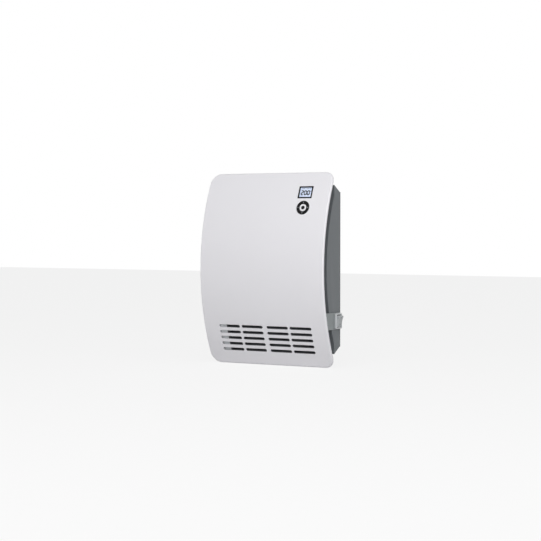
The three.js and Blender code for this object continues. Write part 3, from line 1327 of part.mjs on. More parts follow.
// A rubber ring in the hole of the back wall, with a lip inside.
function cableGrommet() {
  const neck = CABLE_HOLE_RADIUS - CLEAR;
  const lip = CABLE_HOLE_RADIUS + GROMMET_FLANGE;
  const top = CASE_WALL + 3 * GROMMET_LIP;
  const profile = [
    [GROMMET_BORE, 0],
    [neck, 0],
    [neck, CASE_WALL],
    [lip, CASE_WALL],
    [lip, CASE_WALL + GROMMET_LIP],
    [neck, top],
    [GROMMET_BORE, top],
    [GROMMET_BORE, 0],
  ];
  const ring = new THREE.LatheGeometry(profile.map(([r, y]) => new THREE.Vector2(r, y)), 14)
    .rotateX(Math.PI)
    .translate(CABLE_X, -CLEAR, CABLE_Z);
  return piece("cable_grommet", ring, BLACK_RUBBER);
}

// A strap over the cord, with a flat foot on each side.
function cableClamp() {
  const half = CLAMP_WIDTH / 2;
  const arch = GROMMET_BORE + CLAMP_THICK;
  const foot = BACK_FACE_Y - CLAMP_THICK;
  const middle = BACK_FACE_Y - CLAMP_RISE;
  const shape = new THREE.Shape();
  shape.moveTo(-half, BACK_FACE_Y);
  shape.lineTo(-half, foot);
  shape.lineTo(-arch, foot);
  shape.absarc(0, middle, arch, Math.PI, 2 * Math.PI);
  shape.lineTo(half, foot);
  shape.lineTo(half, BACK_FACE_Y);
  shape.lineTo(GROMMET_BORE, BACK_FACE_Y);
  shape.absarc(0, middle, GROMMET_BORE, 0, Math.PI, true);
  shape.lineTo(-GROMMET_BORE, BACK_FACE_Y);
  const strap = alongZ(shape, around(CLAMP_Z, CLAMP_HEIGHT), 6).translate(CABLE_X, 0, 0);
  return piece("cable_clamp", strap, BLACK_NYLON);
}

// The probe that feels the air that comes in, clipped to the left wall of the frame.
function roomSensor() {
  const x = -FRAME_INNER_X + CLEAR + SENSOR_RADIUS;
  const front = -SENSOR_FROM_WALL;
  const probe = bar("y", SENSOR_RADIUS, [front, front + SENSOR_LENGTH], [x, SENSOR_Z], 12);
  const tip = new THREE.SphereGeometry(SENSOR_RADIUS, 8, 5)
    .scale(0.95, 1, 0.95)
    .translate(x, front, SENSOR_Z);
  return piece("room_sensor", join(probe, tip), BLACK_NYLON);
}

// ---- The heater ---------------------------------------------------------------------------------

displayPieces();
keyPieces();
displayBoard();

const heater = new THREE.Group();
heater.add(
  wallBracket(),
  rearHousing(),
  intakeFrame(),
  frontCover(),
  outletGrille(),
  lcdGroup,
  keyGroup,
  boardGroup,
  ...casingScrews(),
  switchConsole(),
  switchBezel(),
  switchRocker(),
  switchBody(),
  fanImpeller(),
  ...turningPieces(),
  ...freeEndBearing(),
  fanScroll(),
  fanTongue(),
  outletDuct(),
  motorStator(),
  motorCoil(),
  motorBridge("motor_bridge_inner", -1),
  motorBridge("motor_bridge_outer", 1),
  ...motorScrews(),
  heaterFrame(),
  ...micaCards(),
  ...heatingBands(),
  thermalCutout(),
  ...powerElectronics(),
  ...mainsConnection(),
  roomSensor(),
);

export default heater;
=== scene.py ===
# %% [markdown]
# # A wall fan heater for a bathroom
# The CAD step gave every piece of the heater its place and size. Here it gets its looks: a smooth cover,
# rounded edges, a lit display and a material for every piece. All lengths are in metres, +Z is up, and
# the wall is the plane y = 0. A heater like this could also be modelled from scratch in Blender, but then
# its joints and sizes would have to be found again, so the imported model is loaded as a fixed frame.

import json
import math

import bmesh
import bpy
from mathutils import Matrix, Vector


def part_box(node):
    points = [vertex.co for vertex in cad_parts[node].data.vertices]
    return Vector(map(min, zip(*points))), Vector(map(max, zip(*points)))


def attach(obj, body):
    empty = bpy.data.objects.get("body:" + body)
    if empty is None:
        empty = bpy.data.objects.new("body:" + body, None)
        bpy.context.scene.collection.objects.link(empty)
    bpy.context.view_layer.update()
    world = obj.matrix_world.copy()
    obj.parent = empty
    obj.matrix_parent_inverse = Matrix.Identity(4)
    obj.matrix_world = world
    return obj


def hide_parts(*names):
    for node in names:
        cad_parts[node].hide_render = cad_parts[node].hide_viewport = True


MM = 0.001
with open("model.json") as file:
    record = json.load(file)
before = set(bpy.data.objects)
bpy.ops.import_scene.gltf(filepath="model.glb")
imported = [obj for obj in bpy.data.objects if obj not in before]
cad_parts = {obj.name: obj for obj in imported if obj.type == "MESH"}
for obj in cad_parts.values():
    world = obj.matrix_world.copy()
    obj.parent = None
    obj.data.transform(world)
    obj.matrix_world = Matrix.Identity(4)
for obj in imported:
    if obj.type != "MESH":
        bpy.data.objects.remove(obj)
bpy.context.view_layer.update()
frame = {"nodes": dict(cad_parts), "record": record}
nodes = frame["nodes"]
slot_of = {part["node"]: part["material_slot"] for part in frame["record"]["subparts"]}
body_of = {node: body for body, names in frame["record"]["behaviour"]["bodies"].items() for node in names}

# %% [markdown]
# ## The camera
# The photograph was taken from a good distance, from the right and a little above the middle. The yaw, the
# pitch and the distance were fitted to the edges of the cover, so the render can be laid over the photograph.
# The picture is 541 pixels square and the focal length is 1500 of those pixels.

# %% The camera
PICTURE = 541
FOCAL_PIXELS = 1500
YAW = math.radians(30.31)
PITCH = math.radians(1.80)
DISTANCE, ASIDE, ABOVE = 3.738, -0.0435, -0.0051

right = Vector((math.cos(YAW), math.sin(YAW), 0))
ahead = Vector((-math.sin(YAW) * math.cos(PITCH), math.cos(YAW) * math.cos(PITCH), -math.sin(PITCH)))
up = right.cross(ahead)
camera_spot = right * ASIDE + up * ABOVE - ahead * DISTANCE

bpy.ops.object.camera_add()
camera = bpy.context.object
camera.matrix_world = Matrix((right, up, -ahead)).transposed().to_4x4()
camera.location = camera_spot
camera.data.sensor_width = 36
camera.data.lens = FOCAL_PIXELS / PICTURE * camera.data.sensor_width
camera.data.clip_end = 50
bpy.context.scene.camera = camera
print("camera at", [round(c, 3) for c in camera_spot], "lens", round(camera.data.lens, 1), "mm")

# %% [markdown]
# ## Helpers for selections
# Blender's operators act on everything that is selected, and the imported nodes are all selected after
# loading. So each piece starts by deselecting everything and making one object the active one.

# %% Select one object, and bake it
def only(piece):
    bpy.ops.object.select_all(action="DESELECT")
    piece.select_set(True)
    bpy.context.view_layer.objects.active = piece


def apply_all(piece):
    """Bakes the modifiers and then the place, turn and size of the object into its mesh."""
    only(piece)
    for modifier in list(piece.modifiers):
        bpy.ops.object.modifier_apply(modifier=modifier.name)
    bpy.ops.object.transform_apply(location=True, rotation=True, scale=True)
    return piece


# %% [markdown]
# ## Nodes for materials
# A material is a small graph of nodes. One helper adds a node: its plain settings are keywords, and each
# input gets either a number or the output of another node. Colours are written as in a paint program
# (sRGB), and one function turns them into the linear numbers that the renderer works with. Three more
# helpers lead a pattern to the shader: as small relief, as a run of colour, or as a change of roughness.

# %% Colours and nodes
def linear(hex_colour):
    channels = [((hex_colour >> shift) & 255) / 255 for shift in (16, 8, 0)]
    return [c / 12.92 if c <= 0.04045 else ((c + 0.055) / 1.055) ** 2.4 for c in channels] + [1]


def add_node(owner, kind, inputs=None, **settings):
    """Adds a node to the material or the world that owns the graph."""
    node = owner.node_tree.nodes.new("ShaderNode" + kind)
    for name, value in settings.items():
        setattr(node, name, value)
    for name, value in (inputs or {}).items():
        if isinstance(value, bpy.types.NodeSocket):
            owner.node_tree.links.new(value, node.inputs[name])
        else:
            node.inputs[name].default_value = value
    return node


def set_input(owner, node, name, socket):
    owner.node_tree.links.new(socket, node.inputs[name])


def start_material(name, colour, roughness, metallic=0.0):
    """A new material with its main shader, and the place on the piece as a vector."""
    material = bpy.data.materials.new(name)
    material.use_nodes = True
    shader = material.node_tree.nodes["Principled BSDF"]
    shader.inputs["Base Color"].default_value = linear(colour)
    shader.inputs["Roughness"].default_value = roughness
    shader.inputs["Metallic"].default_value = metallic
    place = add_node(material, "TexCoord").outputs["Object"]
    return material, shader, place


# %% Relief, colour and roughness from a pattern
def set_bump(material, shader, height, distance_mm, strength):
    bump = add_node(material, "Bump", {"Height": height, "Distance": distance_mm * MM, "Strength": strength})
    set_input(material, shader, "Normal", bump.outputs["Normal"])


def set_ramp(material, shader, value, low, high):
    """The colour goes from low to high as the value goes from 0 to 1."""
    ramp = add_node(material, "ValToRGB", {"Fac": value})
    ramp.color_ramp.elements[0].color = linear(low)
    ramp.color_ramp.elements[1].color = linear(high)
    set_input(material, shader, "Base Color", ramp.outputs["Color"])
    return ramp


def set_roughness(material, shader, value, low, high, start=0.0, end=1.0):
    """The roughness goes from low to high as the value goes from start to end."""
    spread = add_node(
        material, "MapRange",
        {"Value": value, "From Min": start, "From Max": end, "To Min": low, "To Max": high},
    )
    set_input(material, shader, "Roughness", spread.outputs["Result"])


# %% [markdown]
# ## Plastics
# Most of the heater is injection-moulded ABS. Its mould is spark-eroded, which leaves a very fine grain
# that spreads the highlight, and the plastic itself is even in colour. So a plastic gets a fine bump, a slow
# change of roughness as from handling and flow, and hardly any change of colour. The grain of a real mould
# is about 0.1 mm, too fine for the picture, so it is drawn at half a millimetre or more. The grille's slot is
# called black nylon, but its louvres are drawn dark grey: painted light that lifts them in the shaded slots.
# The intake frame is drawn lighter than the housing's grey, as painted light in its shaded recess.

# %% Moulded plastics
PLASTIC_IOR = 1.53
SHEEN = 0.04  # how far the roughness goes up and down
DARKEST_TINT = 0.985


def moulded_plastic(name, colour, roughness, grain_mm, grain_height_mm):
    material, shader, place = start_material(name, colour, roughness)
    shader.inputs["IOR"].default_value = PLASTIC_IOR
    grain = add_node(material, "TexNoise", {"Vector": place, "Scale": 1 / (grain_mm * MM), "Detail": 3})
    set_bump(material, shader, grain.outputs["Fac"], grain_height_mm, 0.6)
    flow = add_node(material, "TexNoise", {"Vector": place, "Scale": 9, "Detail": 2})
    set_roughness(material, shader, flow.outputs["Fac"], roughness - SHEEN, roughness + SHEEN)
    tint = add_node(
        material, "MapRange", {"Value": flow.outputs["Fac"], "To Min": DARKEST_TINT, "To Max": 1.0},
    )
    shade = add_node(  # a colour mix has its share at input 0 and its two colours at 6 and 7
        material, "Mix",
        {0: 1.0, 6: linear(colour), 7: tint.outputs["Result"]},
        data_type="RGBA", blend_type="MULTIPLY",
    )
    set_input(material, shader, "Base Color", shade.outputs[2])
    return material


# for each slot: name, colour, roughness, size of the grain in mm, height of the grain in mm
PLASTICS = {
    "white_plastic": ("semi_gloss_moulded_ABS_white", 0xF2F1F5, 0.4, 0.6, 0.012),
    "grey_plastic": ("fine_grain_moulded_ABS_grey", 0x75797C, 0.52, 0.8, 0.05),
    # painted light: the intake frame's dark grey is raised above the housing's grey to lighten its shaded
    # recess
    "dark_grey_plastic": ("fine_grain_moulded_ABS_dark_grey", 0x7C7F84, 0.6, 0.8, 0.05),
    "pale_plastic": ("satin_moulded_polyamide_pale_grey", 0xDADDDF, 0.45, 0.7, 0.02),
    "console_plastic": ("satin_moulded_ABS_grey_green", 0x959B9C, 0.46, 0.7, 0.02),
    # painted light: dark grey instead of black, to lighten the louvres in the shaded slots
    "black_nylon": ("glass_filled_nylon_dark_grey", 0x555659, 0.62, 0.9, 0.06),
    "cream_nylon": ("moulded_nylon_cream", 0xDCD8C8, 0.5, 0.8, 0.02),
}
materials = {slot: moulded_plastic(*values) for slot, values in PLASTICS.items()}
print("plastics:", [m.name for m in materials.values()])

# %% [markdown]
# The keys and the frame of the display are polished: their mould is lapped to a mirror, so there is no
# grain at all, only faint waviness where the plastic shrank, and now and then a soft finger mark.

# %% Polished black plastic
material, shader, place = start_material("polished_moulded_polycarbonate_black", 0x0C0D0F, 0.14)
shader.inputs["IOR"].default_value = 1.5
shader.inputs["Specular IOR Level"].default_value = 0.2
waves = add_node(material, "TexNoise", {"Vector": place, "Scale": 140, "Detail": 1})
set_bump(material, shader, waves.outputs["Fac"], 0.02, 0.3)
smears = add_node(material, "TexNoise", {"Vector": place, "Scale": 60, "Detail": 4, "Roughness": 0.6})
set_roughness(material, shader, smears.outputs["Fac"], 0.12, 0.26, start=0.45, end=0.75)
materials["black_gloss"] = material

# %% [markdown]
# The display is a liquid crystal cell in front of a pale lamp. It is drawn a little brighter in the middle
# than at its rim, and gives a little light of its own. Both are partly that lamp and partly painted light:
# the glow lifts the screen out of the shade of its recessed frame, and the darker rim is partly painted
# shade of that frame. The colour is a cool bluish white.

# %% The window of the display
LCD_MIDDLE = sum(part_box("lcd_screen"), Vector()) / 2
LCD_FADE = 45.0  # the rim's colour is reached 1 / 45 m, which is 22 mm, from the middle
material, shader, place = start_material("liquid_crystal_window_backlight_and_painted_light", 0xC6D6EF, 0.1)
shader.inputs["IOR"].default_value = 1.5
centred = add_node(material, "Mapping", {"Vector": place, "Location": -LCD_MIDDLE})
distance = add_node(material, "VectorMath", {0: centred.outputs["Vector"]}, operation="LENGTH")
fade = add_node(material, "Math", {0: distance.outputs["Value"], 1: LCD_FADE}, operation="MULTIPLY")
# brighter middle and darker rim: partly backlight, partly painted shade from the frame; it also glows as
# partly painted light
glow_and_rim_shade = set_ramp(material, shader, fade.outputs[0], 0xDEE7F8, 0xBFCDE8)
set_input(material, shader, "Emission Color", glow_and_rim_shade.outputs["Color"])
shader.inputs["Emission Strength"].default_value = 0.2
materials["screen_glass"] = material

# %% [markdown]
# ## Metals
# The bracket and the fan housing are hot-dip galvanised sheet, whose zinc freezes in flat crystals a few
# millimetres wide, each a little lighter or duller than the next. Voronoi cells give just that. The shafts
# and screws are bright steel with fine turning marks, the motor stack is laminated sheet, half a
# millimetre each, and the coil is a row of copper turns. A wave texture repeats every 0.31 / Scale, so the
# sheets come in pairs of one millimetre and the turns every 0.8 mm.

# %% Galvanised sheet
material, shader, place = start_material("hot_dip_galvanised_steel", 0xA9ADB0, 0.42, 1.0)
spangle = add_node(material, "TexVoronoi", {"Vector": place, "Scale": 1 / (6 * MM), "Randomness": 1.0})
cell = add_node(material, "SeparateColor", {0: spangle.outputs["Color"]})
set_ramp(material, shader, cell.outputs[0], 0x9BA0A4, 0xBBBFC2)
set_roughness(material, shader, cell.outputs[1], 0.34, 0.52)
materials["galvanised"] = material

# %% Bright steel
material, shader, place = start_material("turned_bright_steel", 0xC2C4C6, 0.28, 1.0)
turning = add_node(
    material, "TexWave", {"Vector": place, "Scale": 400, "Distortion": 0.4}, bands_direction="DIAGONAL",
)
set_bump(material, shader, turning.outputs["Fac"], 0.01, 0.4)
tarnish = add_node(material, "TexNoise", {"Vector": place, "Scale": 120, "Detail": 3})
set_roughness(material, shader, tarnish.outputs["Fac"], 0.22, 0.38)
materials["steel"] = material

# %% Stacked electrical sheet, copper turns and sintered bronze
material, shader, place = start_material("stacked_electrical_steel_sheet", 0x5D6064, 0.5, 0.9)
layers = add_node(
    material, "TexWave", {"Vector": place, "Scale": 1 / (3.2 * MM), "Distortion": 0.2}, bands_direction="X",
)
set_ramp(material, shader, layers.outputs["Fac"], 0x35373A, 0x74787C)
set_bump(material, shader, layers.outputs["Fac"], 0.1, 0.7)
materials["laminations"] = material

material, shader, place = start_material("enamelled_copper_turns", 0xB06A35, 0.34, 1.0)
turns = add_node(
    material, "TexWave", {"Vector": place, "Scale": 1 / (2.6 * MM), "Distortion": 0.3}, bands_direction="Y",
)
set_ramp(material, shader, turns.outputs["Fac"], 0x6E3A1A, 0xC47A42)
set_bump(material, shader, turns.outputs["Fac"], 0.3, 0.9)
materials["copper"] = material

material, shader, place = start_material("sintered_bronze", 0x9A7040, 0.48, 1.0)
pores = add_node(material, "TexVoronoi", {"Vector": place, "Scale": 1 / (0.5 * MM)})
pore = set_ramp(material, shader, pores.outputs["Distance"], 0x5A3D1E, 0xA67A48)
pore.color_ramp.elements[1].position = 0.4
materials["bronze"] = material
print("metals ready")

# %% [markdown]
# ## Rubber, mica and circuit board
# Rubber is dull and a little dusty. Mica board is pressed from flakes, so it is mottled and has a slight
# shimmer. A circuit board is glass and epoxy under a green mask, with its copper tracks showing as a
# slightly lighter green.

# %% Rubber, mica and circuit board
material, shader, place = start_material("moulded_rubber_black", 0x1D1D1F, 0.82)
dust = add_node(material, "TexNoise", {"Vector": place, "Scale": 500, "Detail": 5})
set_ramp(material, shader, dust.outputs["Fac"], 0x18181A, 0x2B2B2D)
set_bump(material, shader, dust.outputs["Fac"], 0.04, 0.6)
materials["black_rubber"] = material

material, shader, place = start_material("pressed_mica_board", 0xB99F6D, 0.5)
flakes = add_node(material, "TexVoronoi", {"Vector": place, "Scale": 1 / (2.5 * MM)})
cell = add_node(material, "SeparateColor", {0: flakes.outputs["Color"]})
set_ramp(material, shader, cell.outputs[0], 0xA2854F, 0xCDB684)
set_roughness(material, shader, cell.outputs[1], 0.32, 0.66)
materials["mica"] = material

material, shader, place = start_material("glass_epoxy_circuit_board_green", 0x2F6B45, 0.36)
tracks = add_node(
    material, "TexBrick",
    {"Vector": place, "Scale": 1.0, "Brick Width": 9 * MM, "Row Height": 2.4 * MM, "Mortar Size": 0.4 * MM,
     "Color1": linear(0x2A6340), "Color2": linear(0x2F6B45), "Mortar": linear(0x5B9A62)},
)
set_input(material, shader, "Base Color", tracks.outputs["Color"])
materials["circuit_board"] = material
print(len(materials), "materials")

# %% [markdown]
# ## Finishes for the CAD nodes
# Every node takes the material of its slot, also the ones that are hidden inside. The pieces that are
# remodelled below take the same material.

# %% Give every node its material
for name, node in nodes.items():
    node.data.materials.clear()
    node.data.materials.append(materials[slot_of[name]])
print("every slot has a finish; unused:", sorted(set(materials) - set(slot_of.values())))

# %% [markdown]
# ## Hand over a finished piece
# A remodelled piece takes its finish from a slot, moves with the body of the node that it stands for, and
# hides that node. A printed mark looks other than its slot, so it also names its own finish.

# %% Finish, ride and replace
def hand_over(piece, node=None, slot=None, body=None, finish=None):
    slot = slot or slot_of[node]
    piece.data.materials.clear()
    piece.data.materials.append(materials[finish or slot])
    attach(piece, body or body_of[node])
    if node:
        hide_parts(node)
    return piece


# %% [markdown]
# ## The front cover
# On the real heater the cover is one large moulding, bowed like a sail, with rounded corners and a soft
# edge all round. A bend modifier would do it, but then the corners would change their shape. Here the
# cover is first made flat, as seen from the front, and then each point is moved back onto the arc. The
# flat plate is a plane with bevelled corners, extruded into a shallow tray and given a wall.

# %% The arc of the front
WIDTH, HEIGHT, DEPTH, BOW = 345 * MM, 470 * MM, 136 * MM, 59 * MM
RADIUS = (HEIGHT ** 2 / 4 + BOW ** 2) / (2 * BOW)


def bow_y(z, inset=0.0):
    """Y of the arc that lies `inset` behind the face of the cover, at height z."""
    return RADIUS - DEPTH - math.sqrt((RADIUS - inset) ** 2 - z ** 2)


def on_face(x, z):
    """Turns and moves a shape from the origin onto the face, with its -Y straight out of it."""
    return Matrix.Translation((x, bow_y(z), z)) @ Matrix.Rotation(-math.asin(z / RADIUS), 4, "X")


print("radius of the bow:", round(RADIUS, 4), "m")

# %% A flat tray with rounded corners
SKIN, RIM, CORNER, EDGE = 3 * MM, 5 * MM, 26 * MM, 3 * MM
FACING_FRONT = (math.pi / 2, 0, 0)  # turns what Blender lays flat or stands along Z, to lie along Y
bpy.ops.object.select_all(action="DESELECT")
bpy.ops.mesh.primitive_plane_add(size=1, location=(0, -DEPTH, 0), rotation=FACING_FRONT)
cover = bpy.context.object
cover.name = "cover_moulding"
cover.scale = (WIDTH, HEIGHT, 1)
apply_all(cover)
bpy.ops.object.mode_set(mode="EDIT")
bpy.ops.mesh.select_all(action="SELECT")
bpy.ops.mesh.bevel(offset=CORNER, segments=12, affect="VERTICES")
bpy.ops.mesh.select_all(action="SELECT")
bpy.ops.mesh.extrude_region_move(TRANSFORM_OT_translate={"value": (0, RIM, 0)})
bpy.ops.mesh.delete(type="ONLY_FACE")
bpy.ops.mesh.select_all(action="SELECT")
bpy.ops.mesh.normals_make_consistent(inside=False)
bpy.ops.object.mode_set(mode="OBJECT")
depths = [vertex.co.y for vertex in cover.data.vertices]
print("tray:", len(cover.data.polygons), "faces, y from", round(min(depths), 4), "to", round(max(depths), 4))

# %% [markdown]
# A Solidify modifier gives the tray its 3 mm wall, on the inside. Then only the outer front edge is rounded,
# because it is the edge that catches the light all round the real cover.

# %% Wall and rounded edge
NEAR_CORNER, NEAR_SIDE, NEAR_FRONT = 0.3 * MM, 0.1 * MM, 0.01 * MM
wall = cover.modifiers.new("wall", "SOLIDIFY")
wall.thickness = SKIN
wall.offset = -1
wall.use_even_offset = True
apply_all(cover)


def on_outline(x, z):
    """True for a point on the outer outline of the flat cover."""
    beyond_x, beyond_z = abs(x) - (WIDTH / 2 - CORNER), abs(z) - (HEIGHT / 2 - CORNER)
    if beyond_x > 0 and beyond_z > 0:
        return math.hypot(beyond_x, beyond_z) > CORNER - NEAR_CORNER
    return beyond_x > CORNER - NEAR_SIDE or beyond_z > CORNER - NEAR_SIDE


bpy.ops.object.mode_set(mode="EDIT")
bpy.ops.mesh.select_mode(type="EDGE")
bpy.ops.mesh.select_all(action="DESELECT")
shape = bmesh.from_edit_mesh(cover.data)
chosen = 0
for edge in shape.edges:
    ends = [v.co for v in edge.verts]
    if all(abs(p.y + DEPTH) < NEAR_FRONT and on_outline(p.x, p.z) for p in ends):
        edge.select = True
        chosen += 1
bmesh.update_edit_mesh(cover.data)
bpy.ops.mesh.bevel(offset=EDGE, segments=6, affect="EDGES")
print("rounded", chosen, "edges of the outline")

# %% [markdown]
# The tray is cut into rows 5 mm high with the bisect operator, so that there is a point wherever the arc
# needs one. Then every point moves back by the depth of the arc at its height. Rows of this size stand less
# than a hundredth of a millimetre off the true arc.

# %% Rows, and the bow
ROW = 5 * MM


def cut_into_rows():
    """Cuts the mesh that is open in Edit Mode at every row of the cover's height."""
    for row in range(1, int(HEIGHT / ROW)):
        bpy.ops.mesh.select_all(action="SELECT")
        bpy.ops.mesh.bisect(plane_co=(0, 0, row * ROW - HEIGHT / 2), plane_no=(0, 0, 1))


cut_into_rows()
bpy.ops.mesh.select_all(action="SELECT")
bpy.ops.mesh.remove_doubles(threshold=0.001 * MM)
bpy.ops.object.mode_set(mode="OBJECT")
for vertex in cover.data.vertices:
    vertex.co.y = bow_y(vertex.co.z, vertex.co.y + DEPTH)
print("bowed cover:", len(cover.data.polygons), "faces")

# %% [markdown]
# ## Openings in the cover
# The outlet is five rows of four slots with round ends. One slot is modelled and copied, and a Boolean
# modifier cuts them all out at once. The window of the display and the hole for the keys are cut square to
# the face, so their cutters are turned with the bow. The cutters are boxes and rods, and so are the tabs
# and posts further down, so these shapes get a helper each.

# %% Boxes, rods and copies
def cube(name, size, middle=(0, 0, 0)):
    """A box of that size round a middle point."""
    bpy.ops.object.select_all(action="DESELECT")
    bpy.ops.mesh.primitive_cube_add(size=1, location=middle)
    piece = bpy.context.object
    piece.name = name
    piece.scale = size
    return apply_all(piece)


def rod(name, radius, depth, sides):
    """A rod along Y round the origin."""
    bpy.ops.object.select_all(action="DESELECT")
    bpy.ops.mesh.primitive_cylinder_add(vertices=sides, radius=radius, depth=depth, rotation=FACING_FRONT)
    piece = bpy.context.object
    piece.name = name
    return apply_all(piece)


def copy_at(piece, place):
    """A copy with its own mesh, moved and turned by the matrix."""
    twin = piece.copy()
    twin.data = piece.data.copy()
    twin.data.transform(place)
    bpy.context.collection.objects.link(twin)
    return twin


def joined(pieces, name):
    bpy.ops.object.select_all(action="DESELECT")
    for piece in pieces:
        piece.select_set(True)
    bpy.context.view_layer.objects.active = pieces[0]
    bpy.ops.object.join()
    pieces[0].name = name
    return pieces[0]


# %% One slot, and its copies
SLOT_ROWS, SLOT_TOP, SLOT_PITCH = 5, -140 * MM, 14.5 * MM
SLOT_LENGTH, SLOT_HEIGHT, MIDDLE_GAP, RIB = 60.5 * MM, 7 * MM, 10 * MM, 4 * MM
CUTTER_DEPTH, CUTTER_Y = 100 * MM, -90 * MM
slot_cutter = cube("slot_cutter", (SLOT_LENGTH, CUTTER_DEPTH, SLOT_HEIGHT))
bpy.ops.object.mode_set(mode="EDIT")
bpy.ops.mesh.select_mode(type="EDGE")
shape = bmesh.from_edit_mesh(slot_cutter.data)
for edge in shape.edges:
    a, b = (v.co for v in edge.verts)
    edge.select = abs(a.x - b.x) < MM and abs(a.z - b.z) < MM
bmesh.update_edit_mesh(slot_cutter.data)
bpy.ops.mesh.bevel(offset=SLOT_HEIGHT / 2 - 0.01 * MM, segments=8, affect="EDGES")
bpy.ops.object.mode_set(mode="OBJECT")

near, far = MIDDLE_GAP / 2 + SLOT_LENGTH / 2, MIDDLE_GAP / 2 + 1.5 * SLOT_LENGTH + RIB
slot_cutters = []
for row in range(SLOT_ROWS):
    z = SLOT_TOP - row * SLOT_PITCH
    for x in (-far, -near, near, far):
        slot_cutters.append(copy_at(slot_cutter, Matrix.Translation((x, CUTTER_Y, z))))
bpy.data.objects.remove(slot_cutter)
print("slots:", len(slot_cutters))

# %% Window and keyhole
CONTROL_X, LCD_Z, KEYS_Z = 105 * MM, 187 * MM, 150 * MM
LCD_WIDTH, LCD_HEIGHT, KEYS_RADIUS, THROUGH = 38 * MM, 31 * MM, 17.1 * MM, 12 * MM
GAP = 0.3 * MM
window_cutter = cube("window_cutter", (LCD_WIDTH + 2 * GAP, THROUGH, LCD_HEIGHT + 2 * GAP))
window_cutter.data.transform(on_face(CONTROL_X, LCD_Z))
key_cutter = rod("key_cutter", KEYS_RADIUS + GAP, THROUGH, 96)
key_cutter.data.transform(on_face(CONTROL_X, KEYS_Z))
cutters = joined([*slot_cutters, window_cutter, key_cutter], "cover_cutter")

holes = cover.modifiers.new("openings", "BOOLEAN")
holes.operation = "DIFFERENCE"
holes.solver = "EXACT"
holes.object = cutters
only(cover)
bpy.ops.object.modifier_apply(modifier=holes.name)
bpy.data.objects.remove(cutters)
print("cover with openings:", len(cover.data.polygons), "faces")

# %% [markdown]
# The lips of the slots get a small round edge, as every moulded hole has, and the cover is then shaded
# smooth up to 30 degrees, so the bow has no facets and the edges stay crisp. Weighted normals keep the
# wide face evenly lit right up to its small edges.

# %% Small edges and shading
def rounded(piece, width, segments, angle):
    """Rounds the edges that are sharper than the angle in degrees, and shades the piece smooth."""
    edge = piece.modifiers.new("edges", "BEVEL")
    edge.width = width
    edge.segments = segments
    edge.limit_method = "ANGLE"
    edge.angle_limit = math.radians(angle)
    edge.use_clamp_overlap = True
    apply_all(piece)
    bpy.ops.object.shade_smooth_by_angle(angle=math.radians(30))
    return piece


rounded(cover, 0.45 * MM, 2, 50)
shading = cover.modifiers.new("shading", "WEIGHTED_NORMAL")
shading.keep_sharp = True
bpy.ops.object.modifier_apply(modifier=shading.name)
hand_over(cover, "front_cover")
print("cover finished:", len(cover.data.polygons), "faces")

# %% [markdown]
# The cover hangs on four tabs inside its top and bottom edge, and the display board stands on four posts.
# They are simple shapes: each tab is a box with its edges rounded, and each post a plain rod.

# %% Tabs and posts behind the cover
def block(name, low, high, edge):
    """A box with rounded edges between two corners."""
    middle = [(a + b) / 2 for a, b in zip(low, high)]
    return rounded(cube(name, [b - a for a, b in zip(low, high)], middle), edge, 2, 40)


TAB_X, TAB_Z, TAB_INSET = 90 * MM, 210.3 * MM, 2.5 * MM
TAB_WIDTH, TAB_THICK, TAB_LENGTH = 16 * MM, 2.2 * MM, 26 * MM
tab_front = bow_y(TAB_Z, TAB_INSET)
tabs = []
for x in (-TAB_X, TAB_X):
    for side in (-1, 1):
        low_z, high_z = sorted((side * TAB_Z, side * (TAB_Z + TAB_THICK)))
        low = (x - TAB_WIDTH / 2, tab_front, low_z)
        high = (x + TAB_WIDTH / 2, tab_front + TAB_LENGTH, high_z)
        tabs.append(block("tab", low, high, 0.3 * MM))
hand_over(joined(tabs, "cover_tabs"), slot="white_plastic", body="heater_body")

BOARD_Z, POST_X, POST_Z = 164 * MM, 22.2 * MM, 31.2 * MM
POST_RADIUS, POST_LENGTH, POST_MIDDLE = 2.5 * MM, 5.6 * MM, 4.3 * MM
post = rod("board_posts", POST_RADIUS, POST_LENGTH, 32)
posts = []
for x in (-POST_X, POST_X):
    for z in (-POST_Z, POST_Z):
        posts.append(copy_at(post, on_face(CONTROL_X, BOARD_Z) @ Matrix.Translation((x, POST_MIDDLE, z))))
bpy.data.objects.remove(post)
hand_over(joined(posts, "board_posts"), slot="white_plastic", body="heater_body")
print("tabs and posts made")

# %% [markdown]
# ## Pieces that keep the shape of their CAD node
# Many pieces already have the right form in the CAD model, but with knife-sharp edges, and an edge that
# sharp never catches light. Each of them is copied, its loose triangles are welded and flat neighbours
# joined again, and a Bevel modifier rounds the edges by what the real moulding or pressing has.

# %% Copies with soft edges
def merged_copy(node):
    copy = nodes[node].copy()
    copy.data = nodes[node].data.copy()
    copy.name = "soft_" + node
    copy.parent = None
    bpy.context.collection.objects.link(copy)
    only(copy)
    bpy.ops.object.mode_set(mode="EDIT")
    bpy.ops.mesh.select_all(action="SELECT")
    bpy.ops.mesh.remove_doubles(threshold=0.002 * MM)
    bpy.ops.mesh.dissolve_limited(angle_limit=math.radians(1))
    bpy.ops.object.mode_set(mode="OBJECT")
    return copy


def softened(node, width, segments=2, angle=35):
    return hand_over(rounded(merged_copy(node), width, segments, angle), node)


SOFT_EDGES_MM = {
    "intake_frame": 0.8, "wall_bracket": 0.3, "outlet_duct": 0.5,
    "switch_bezel": 0.5, "lcd_frame": 0.35, "cable_grommet": 0.6, "cable_clamp": 0.5,
    "fan_scroll": 0.3, "fan_tongue": 0.4, "heater_frame": 0.4, "terminal_block": 0.4,
    "transformer": 0.5, "relay_1": 0.5, "relay_2": 0.5, "switch_body": 0.5,
    "motor_bridge_inner": 0.5, "motor_bridge_outer": 0.5, "fan_bush_mount": 0.3, "room_sensor": 0.4,
}
for node, width in SOFT_EDGES_MM.items():
    softened(node, width * MM)
print("softened:", len(SOFT_EDGES_MM), "pieces")

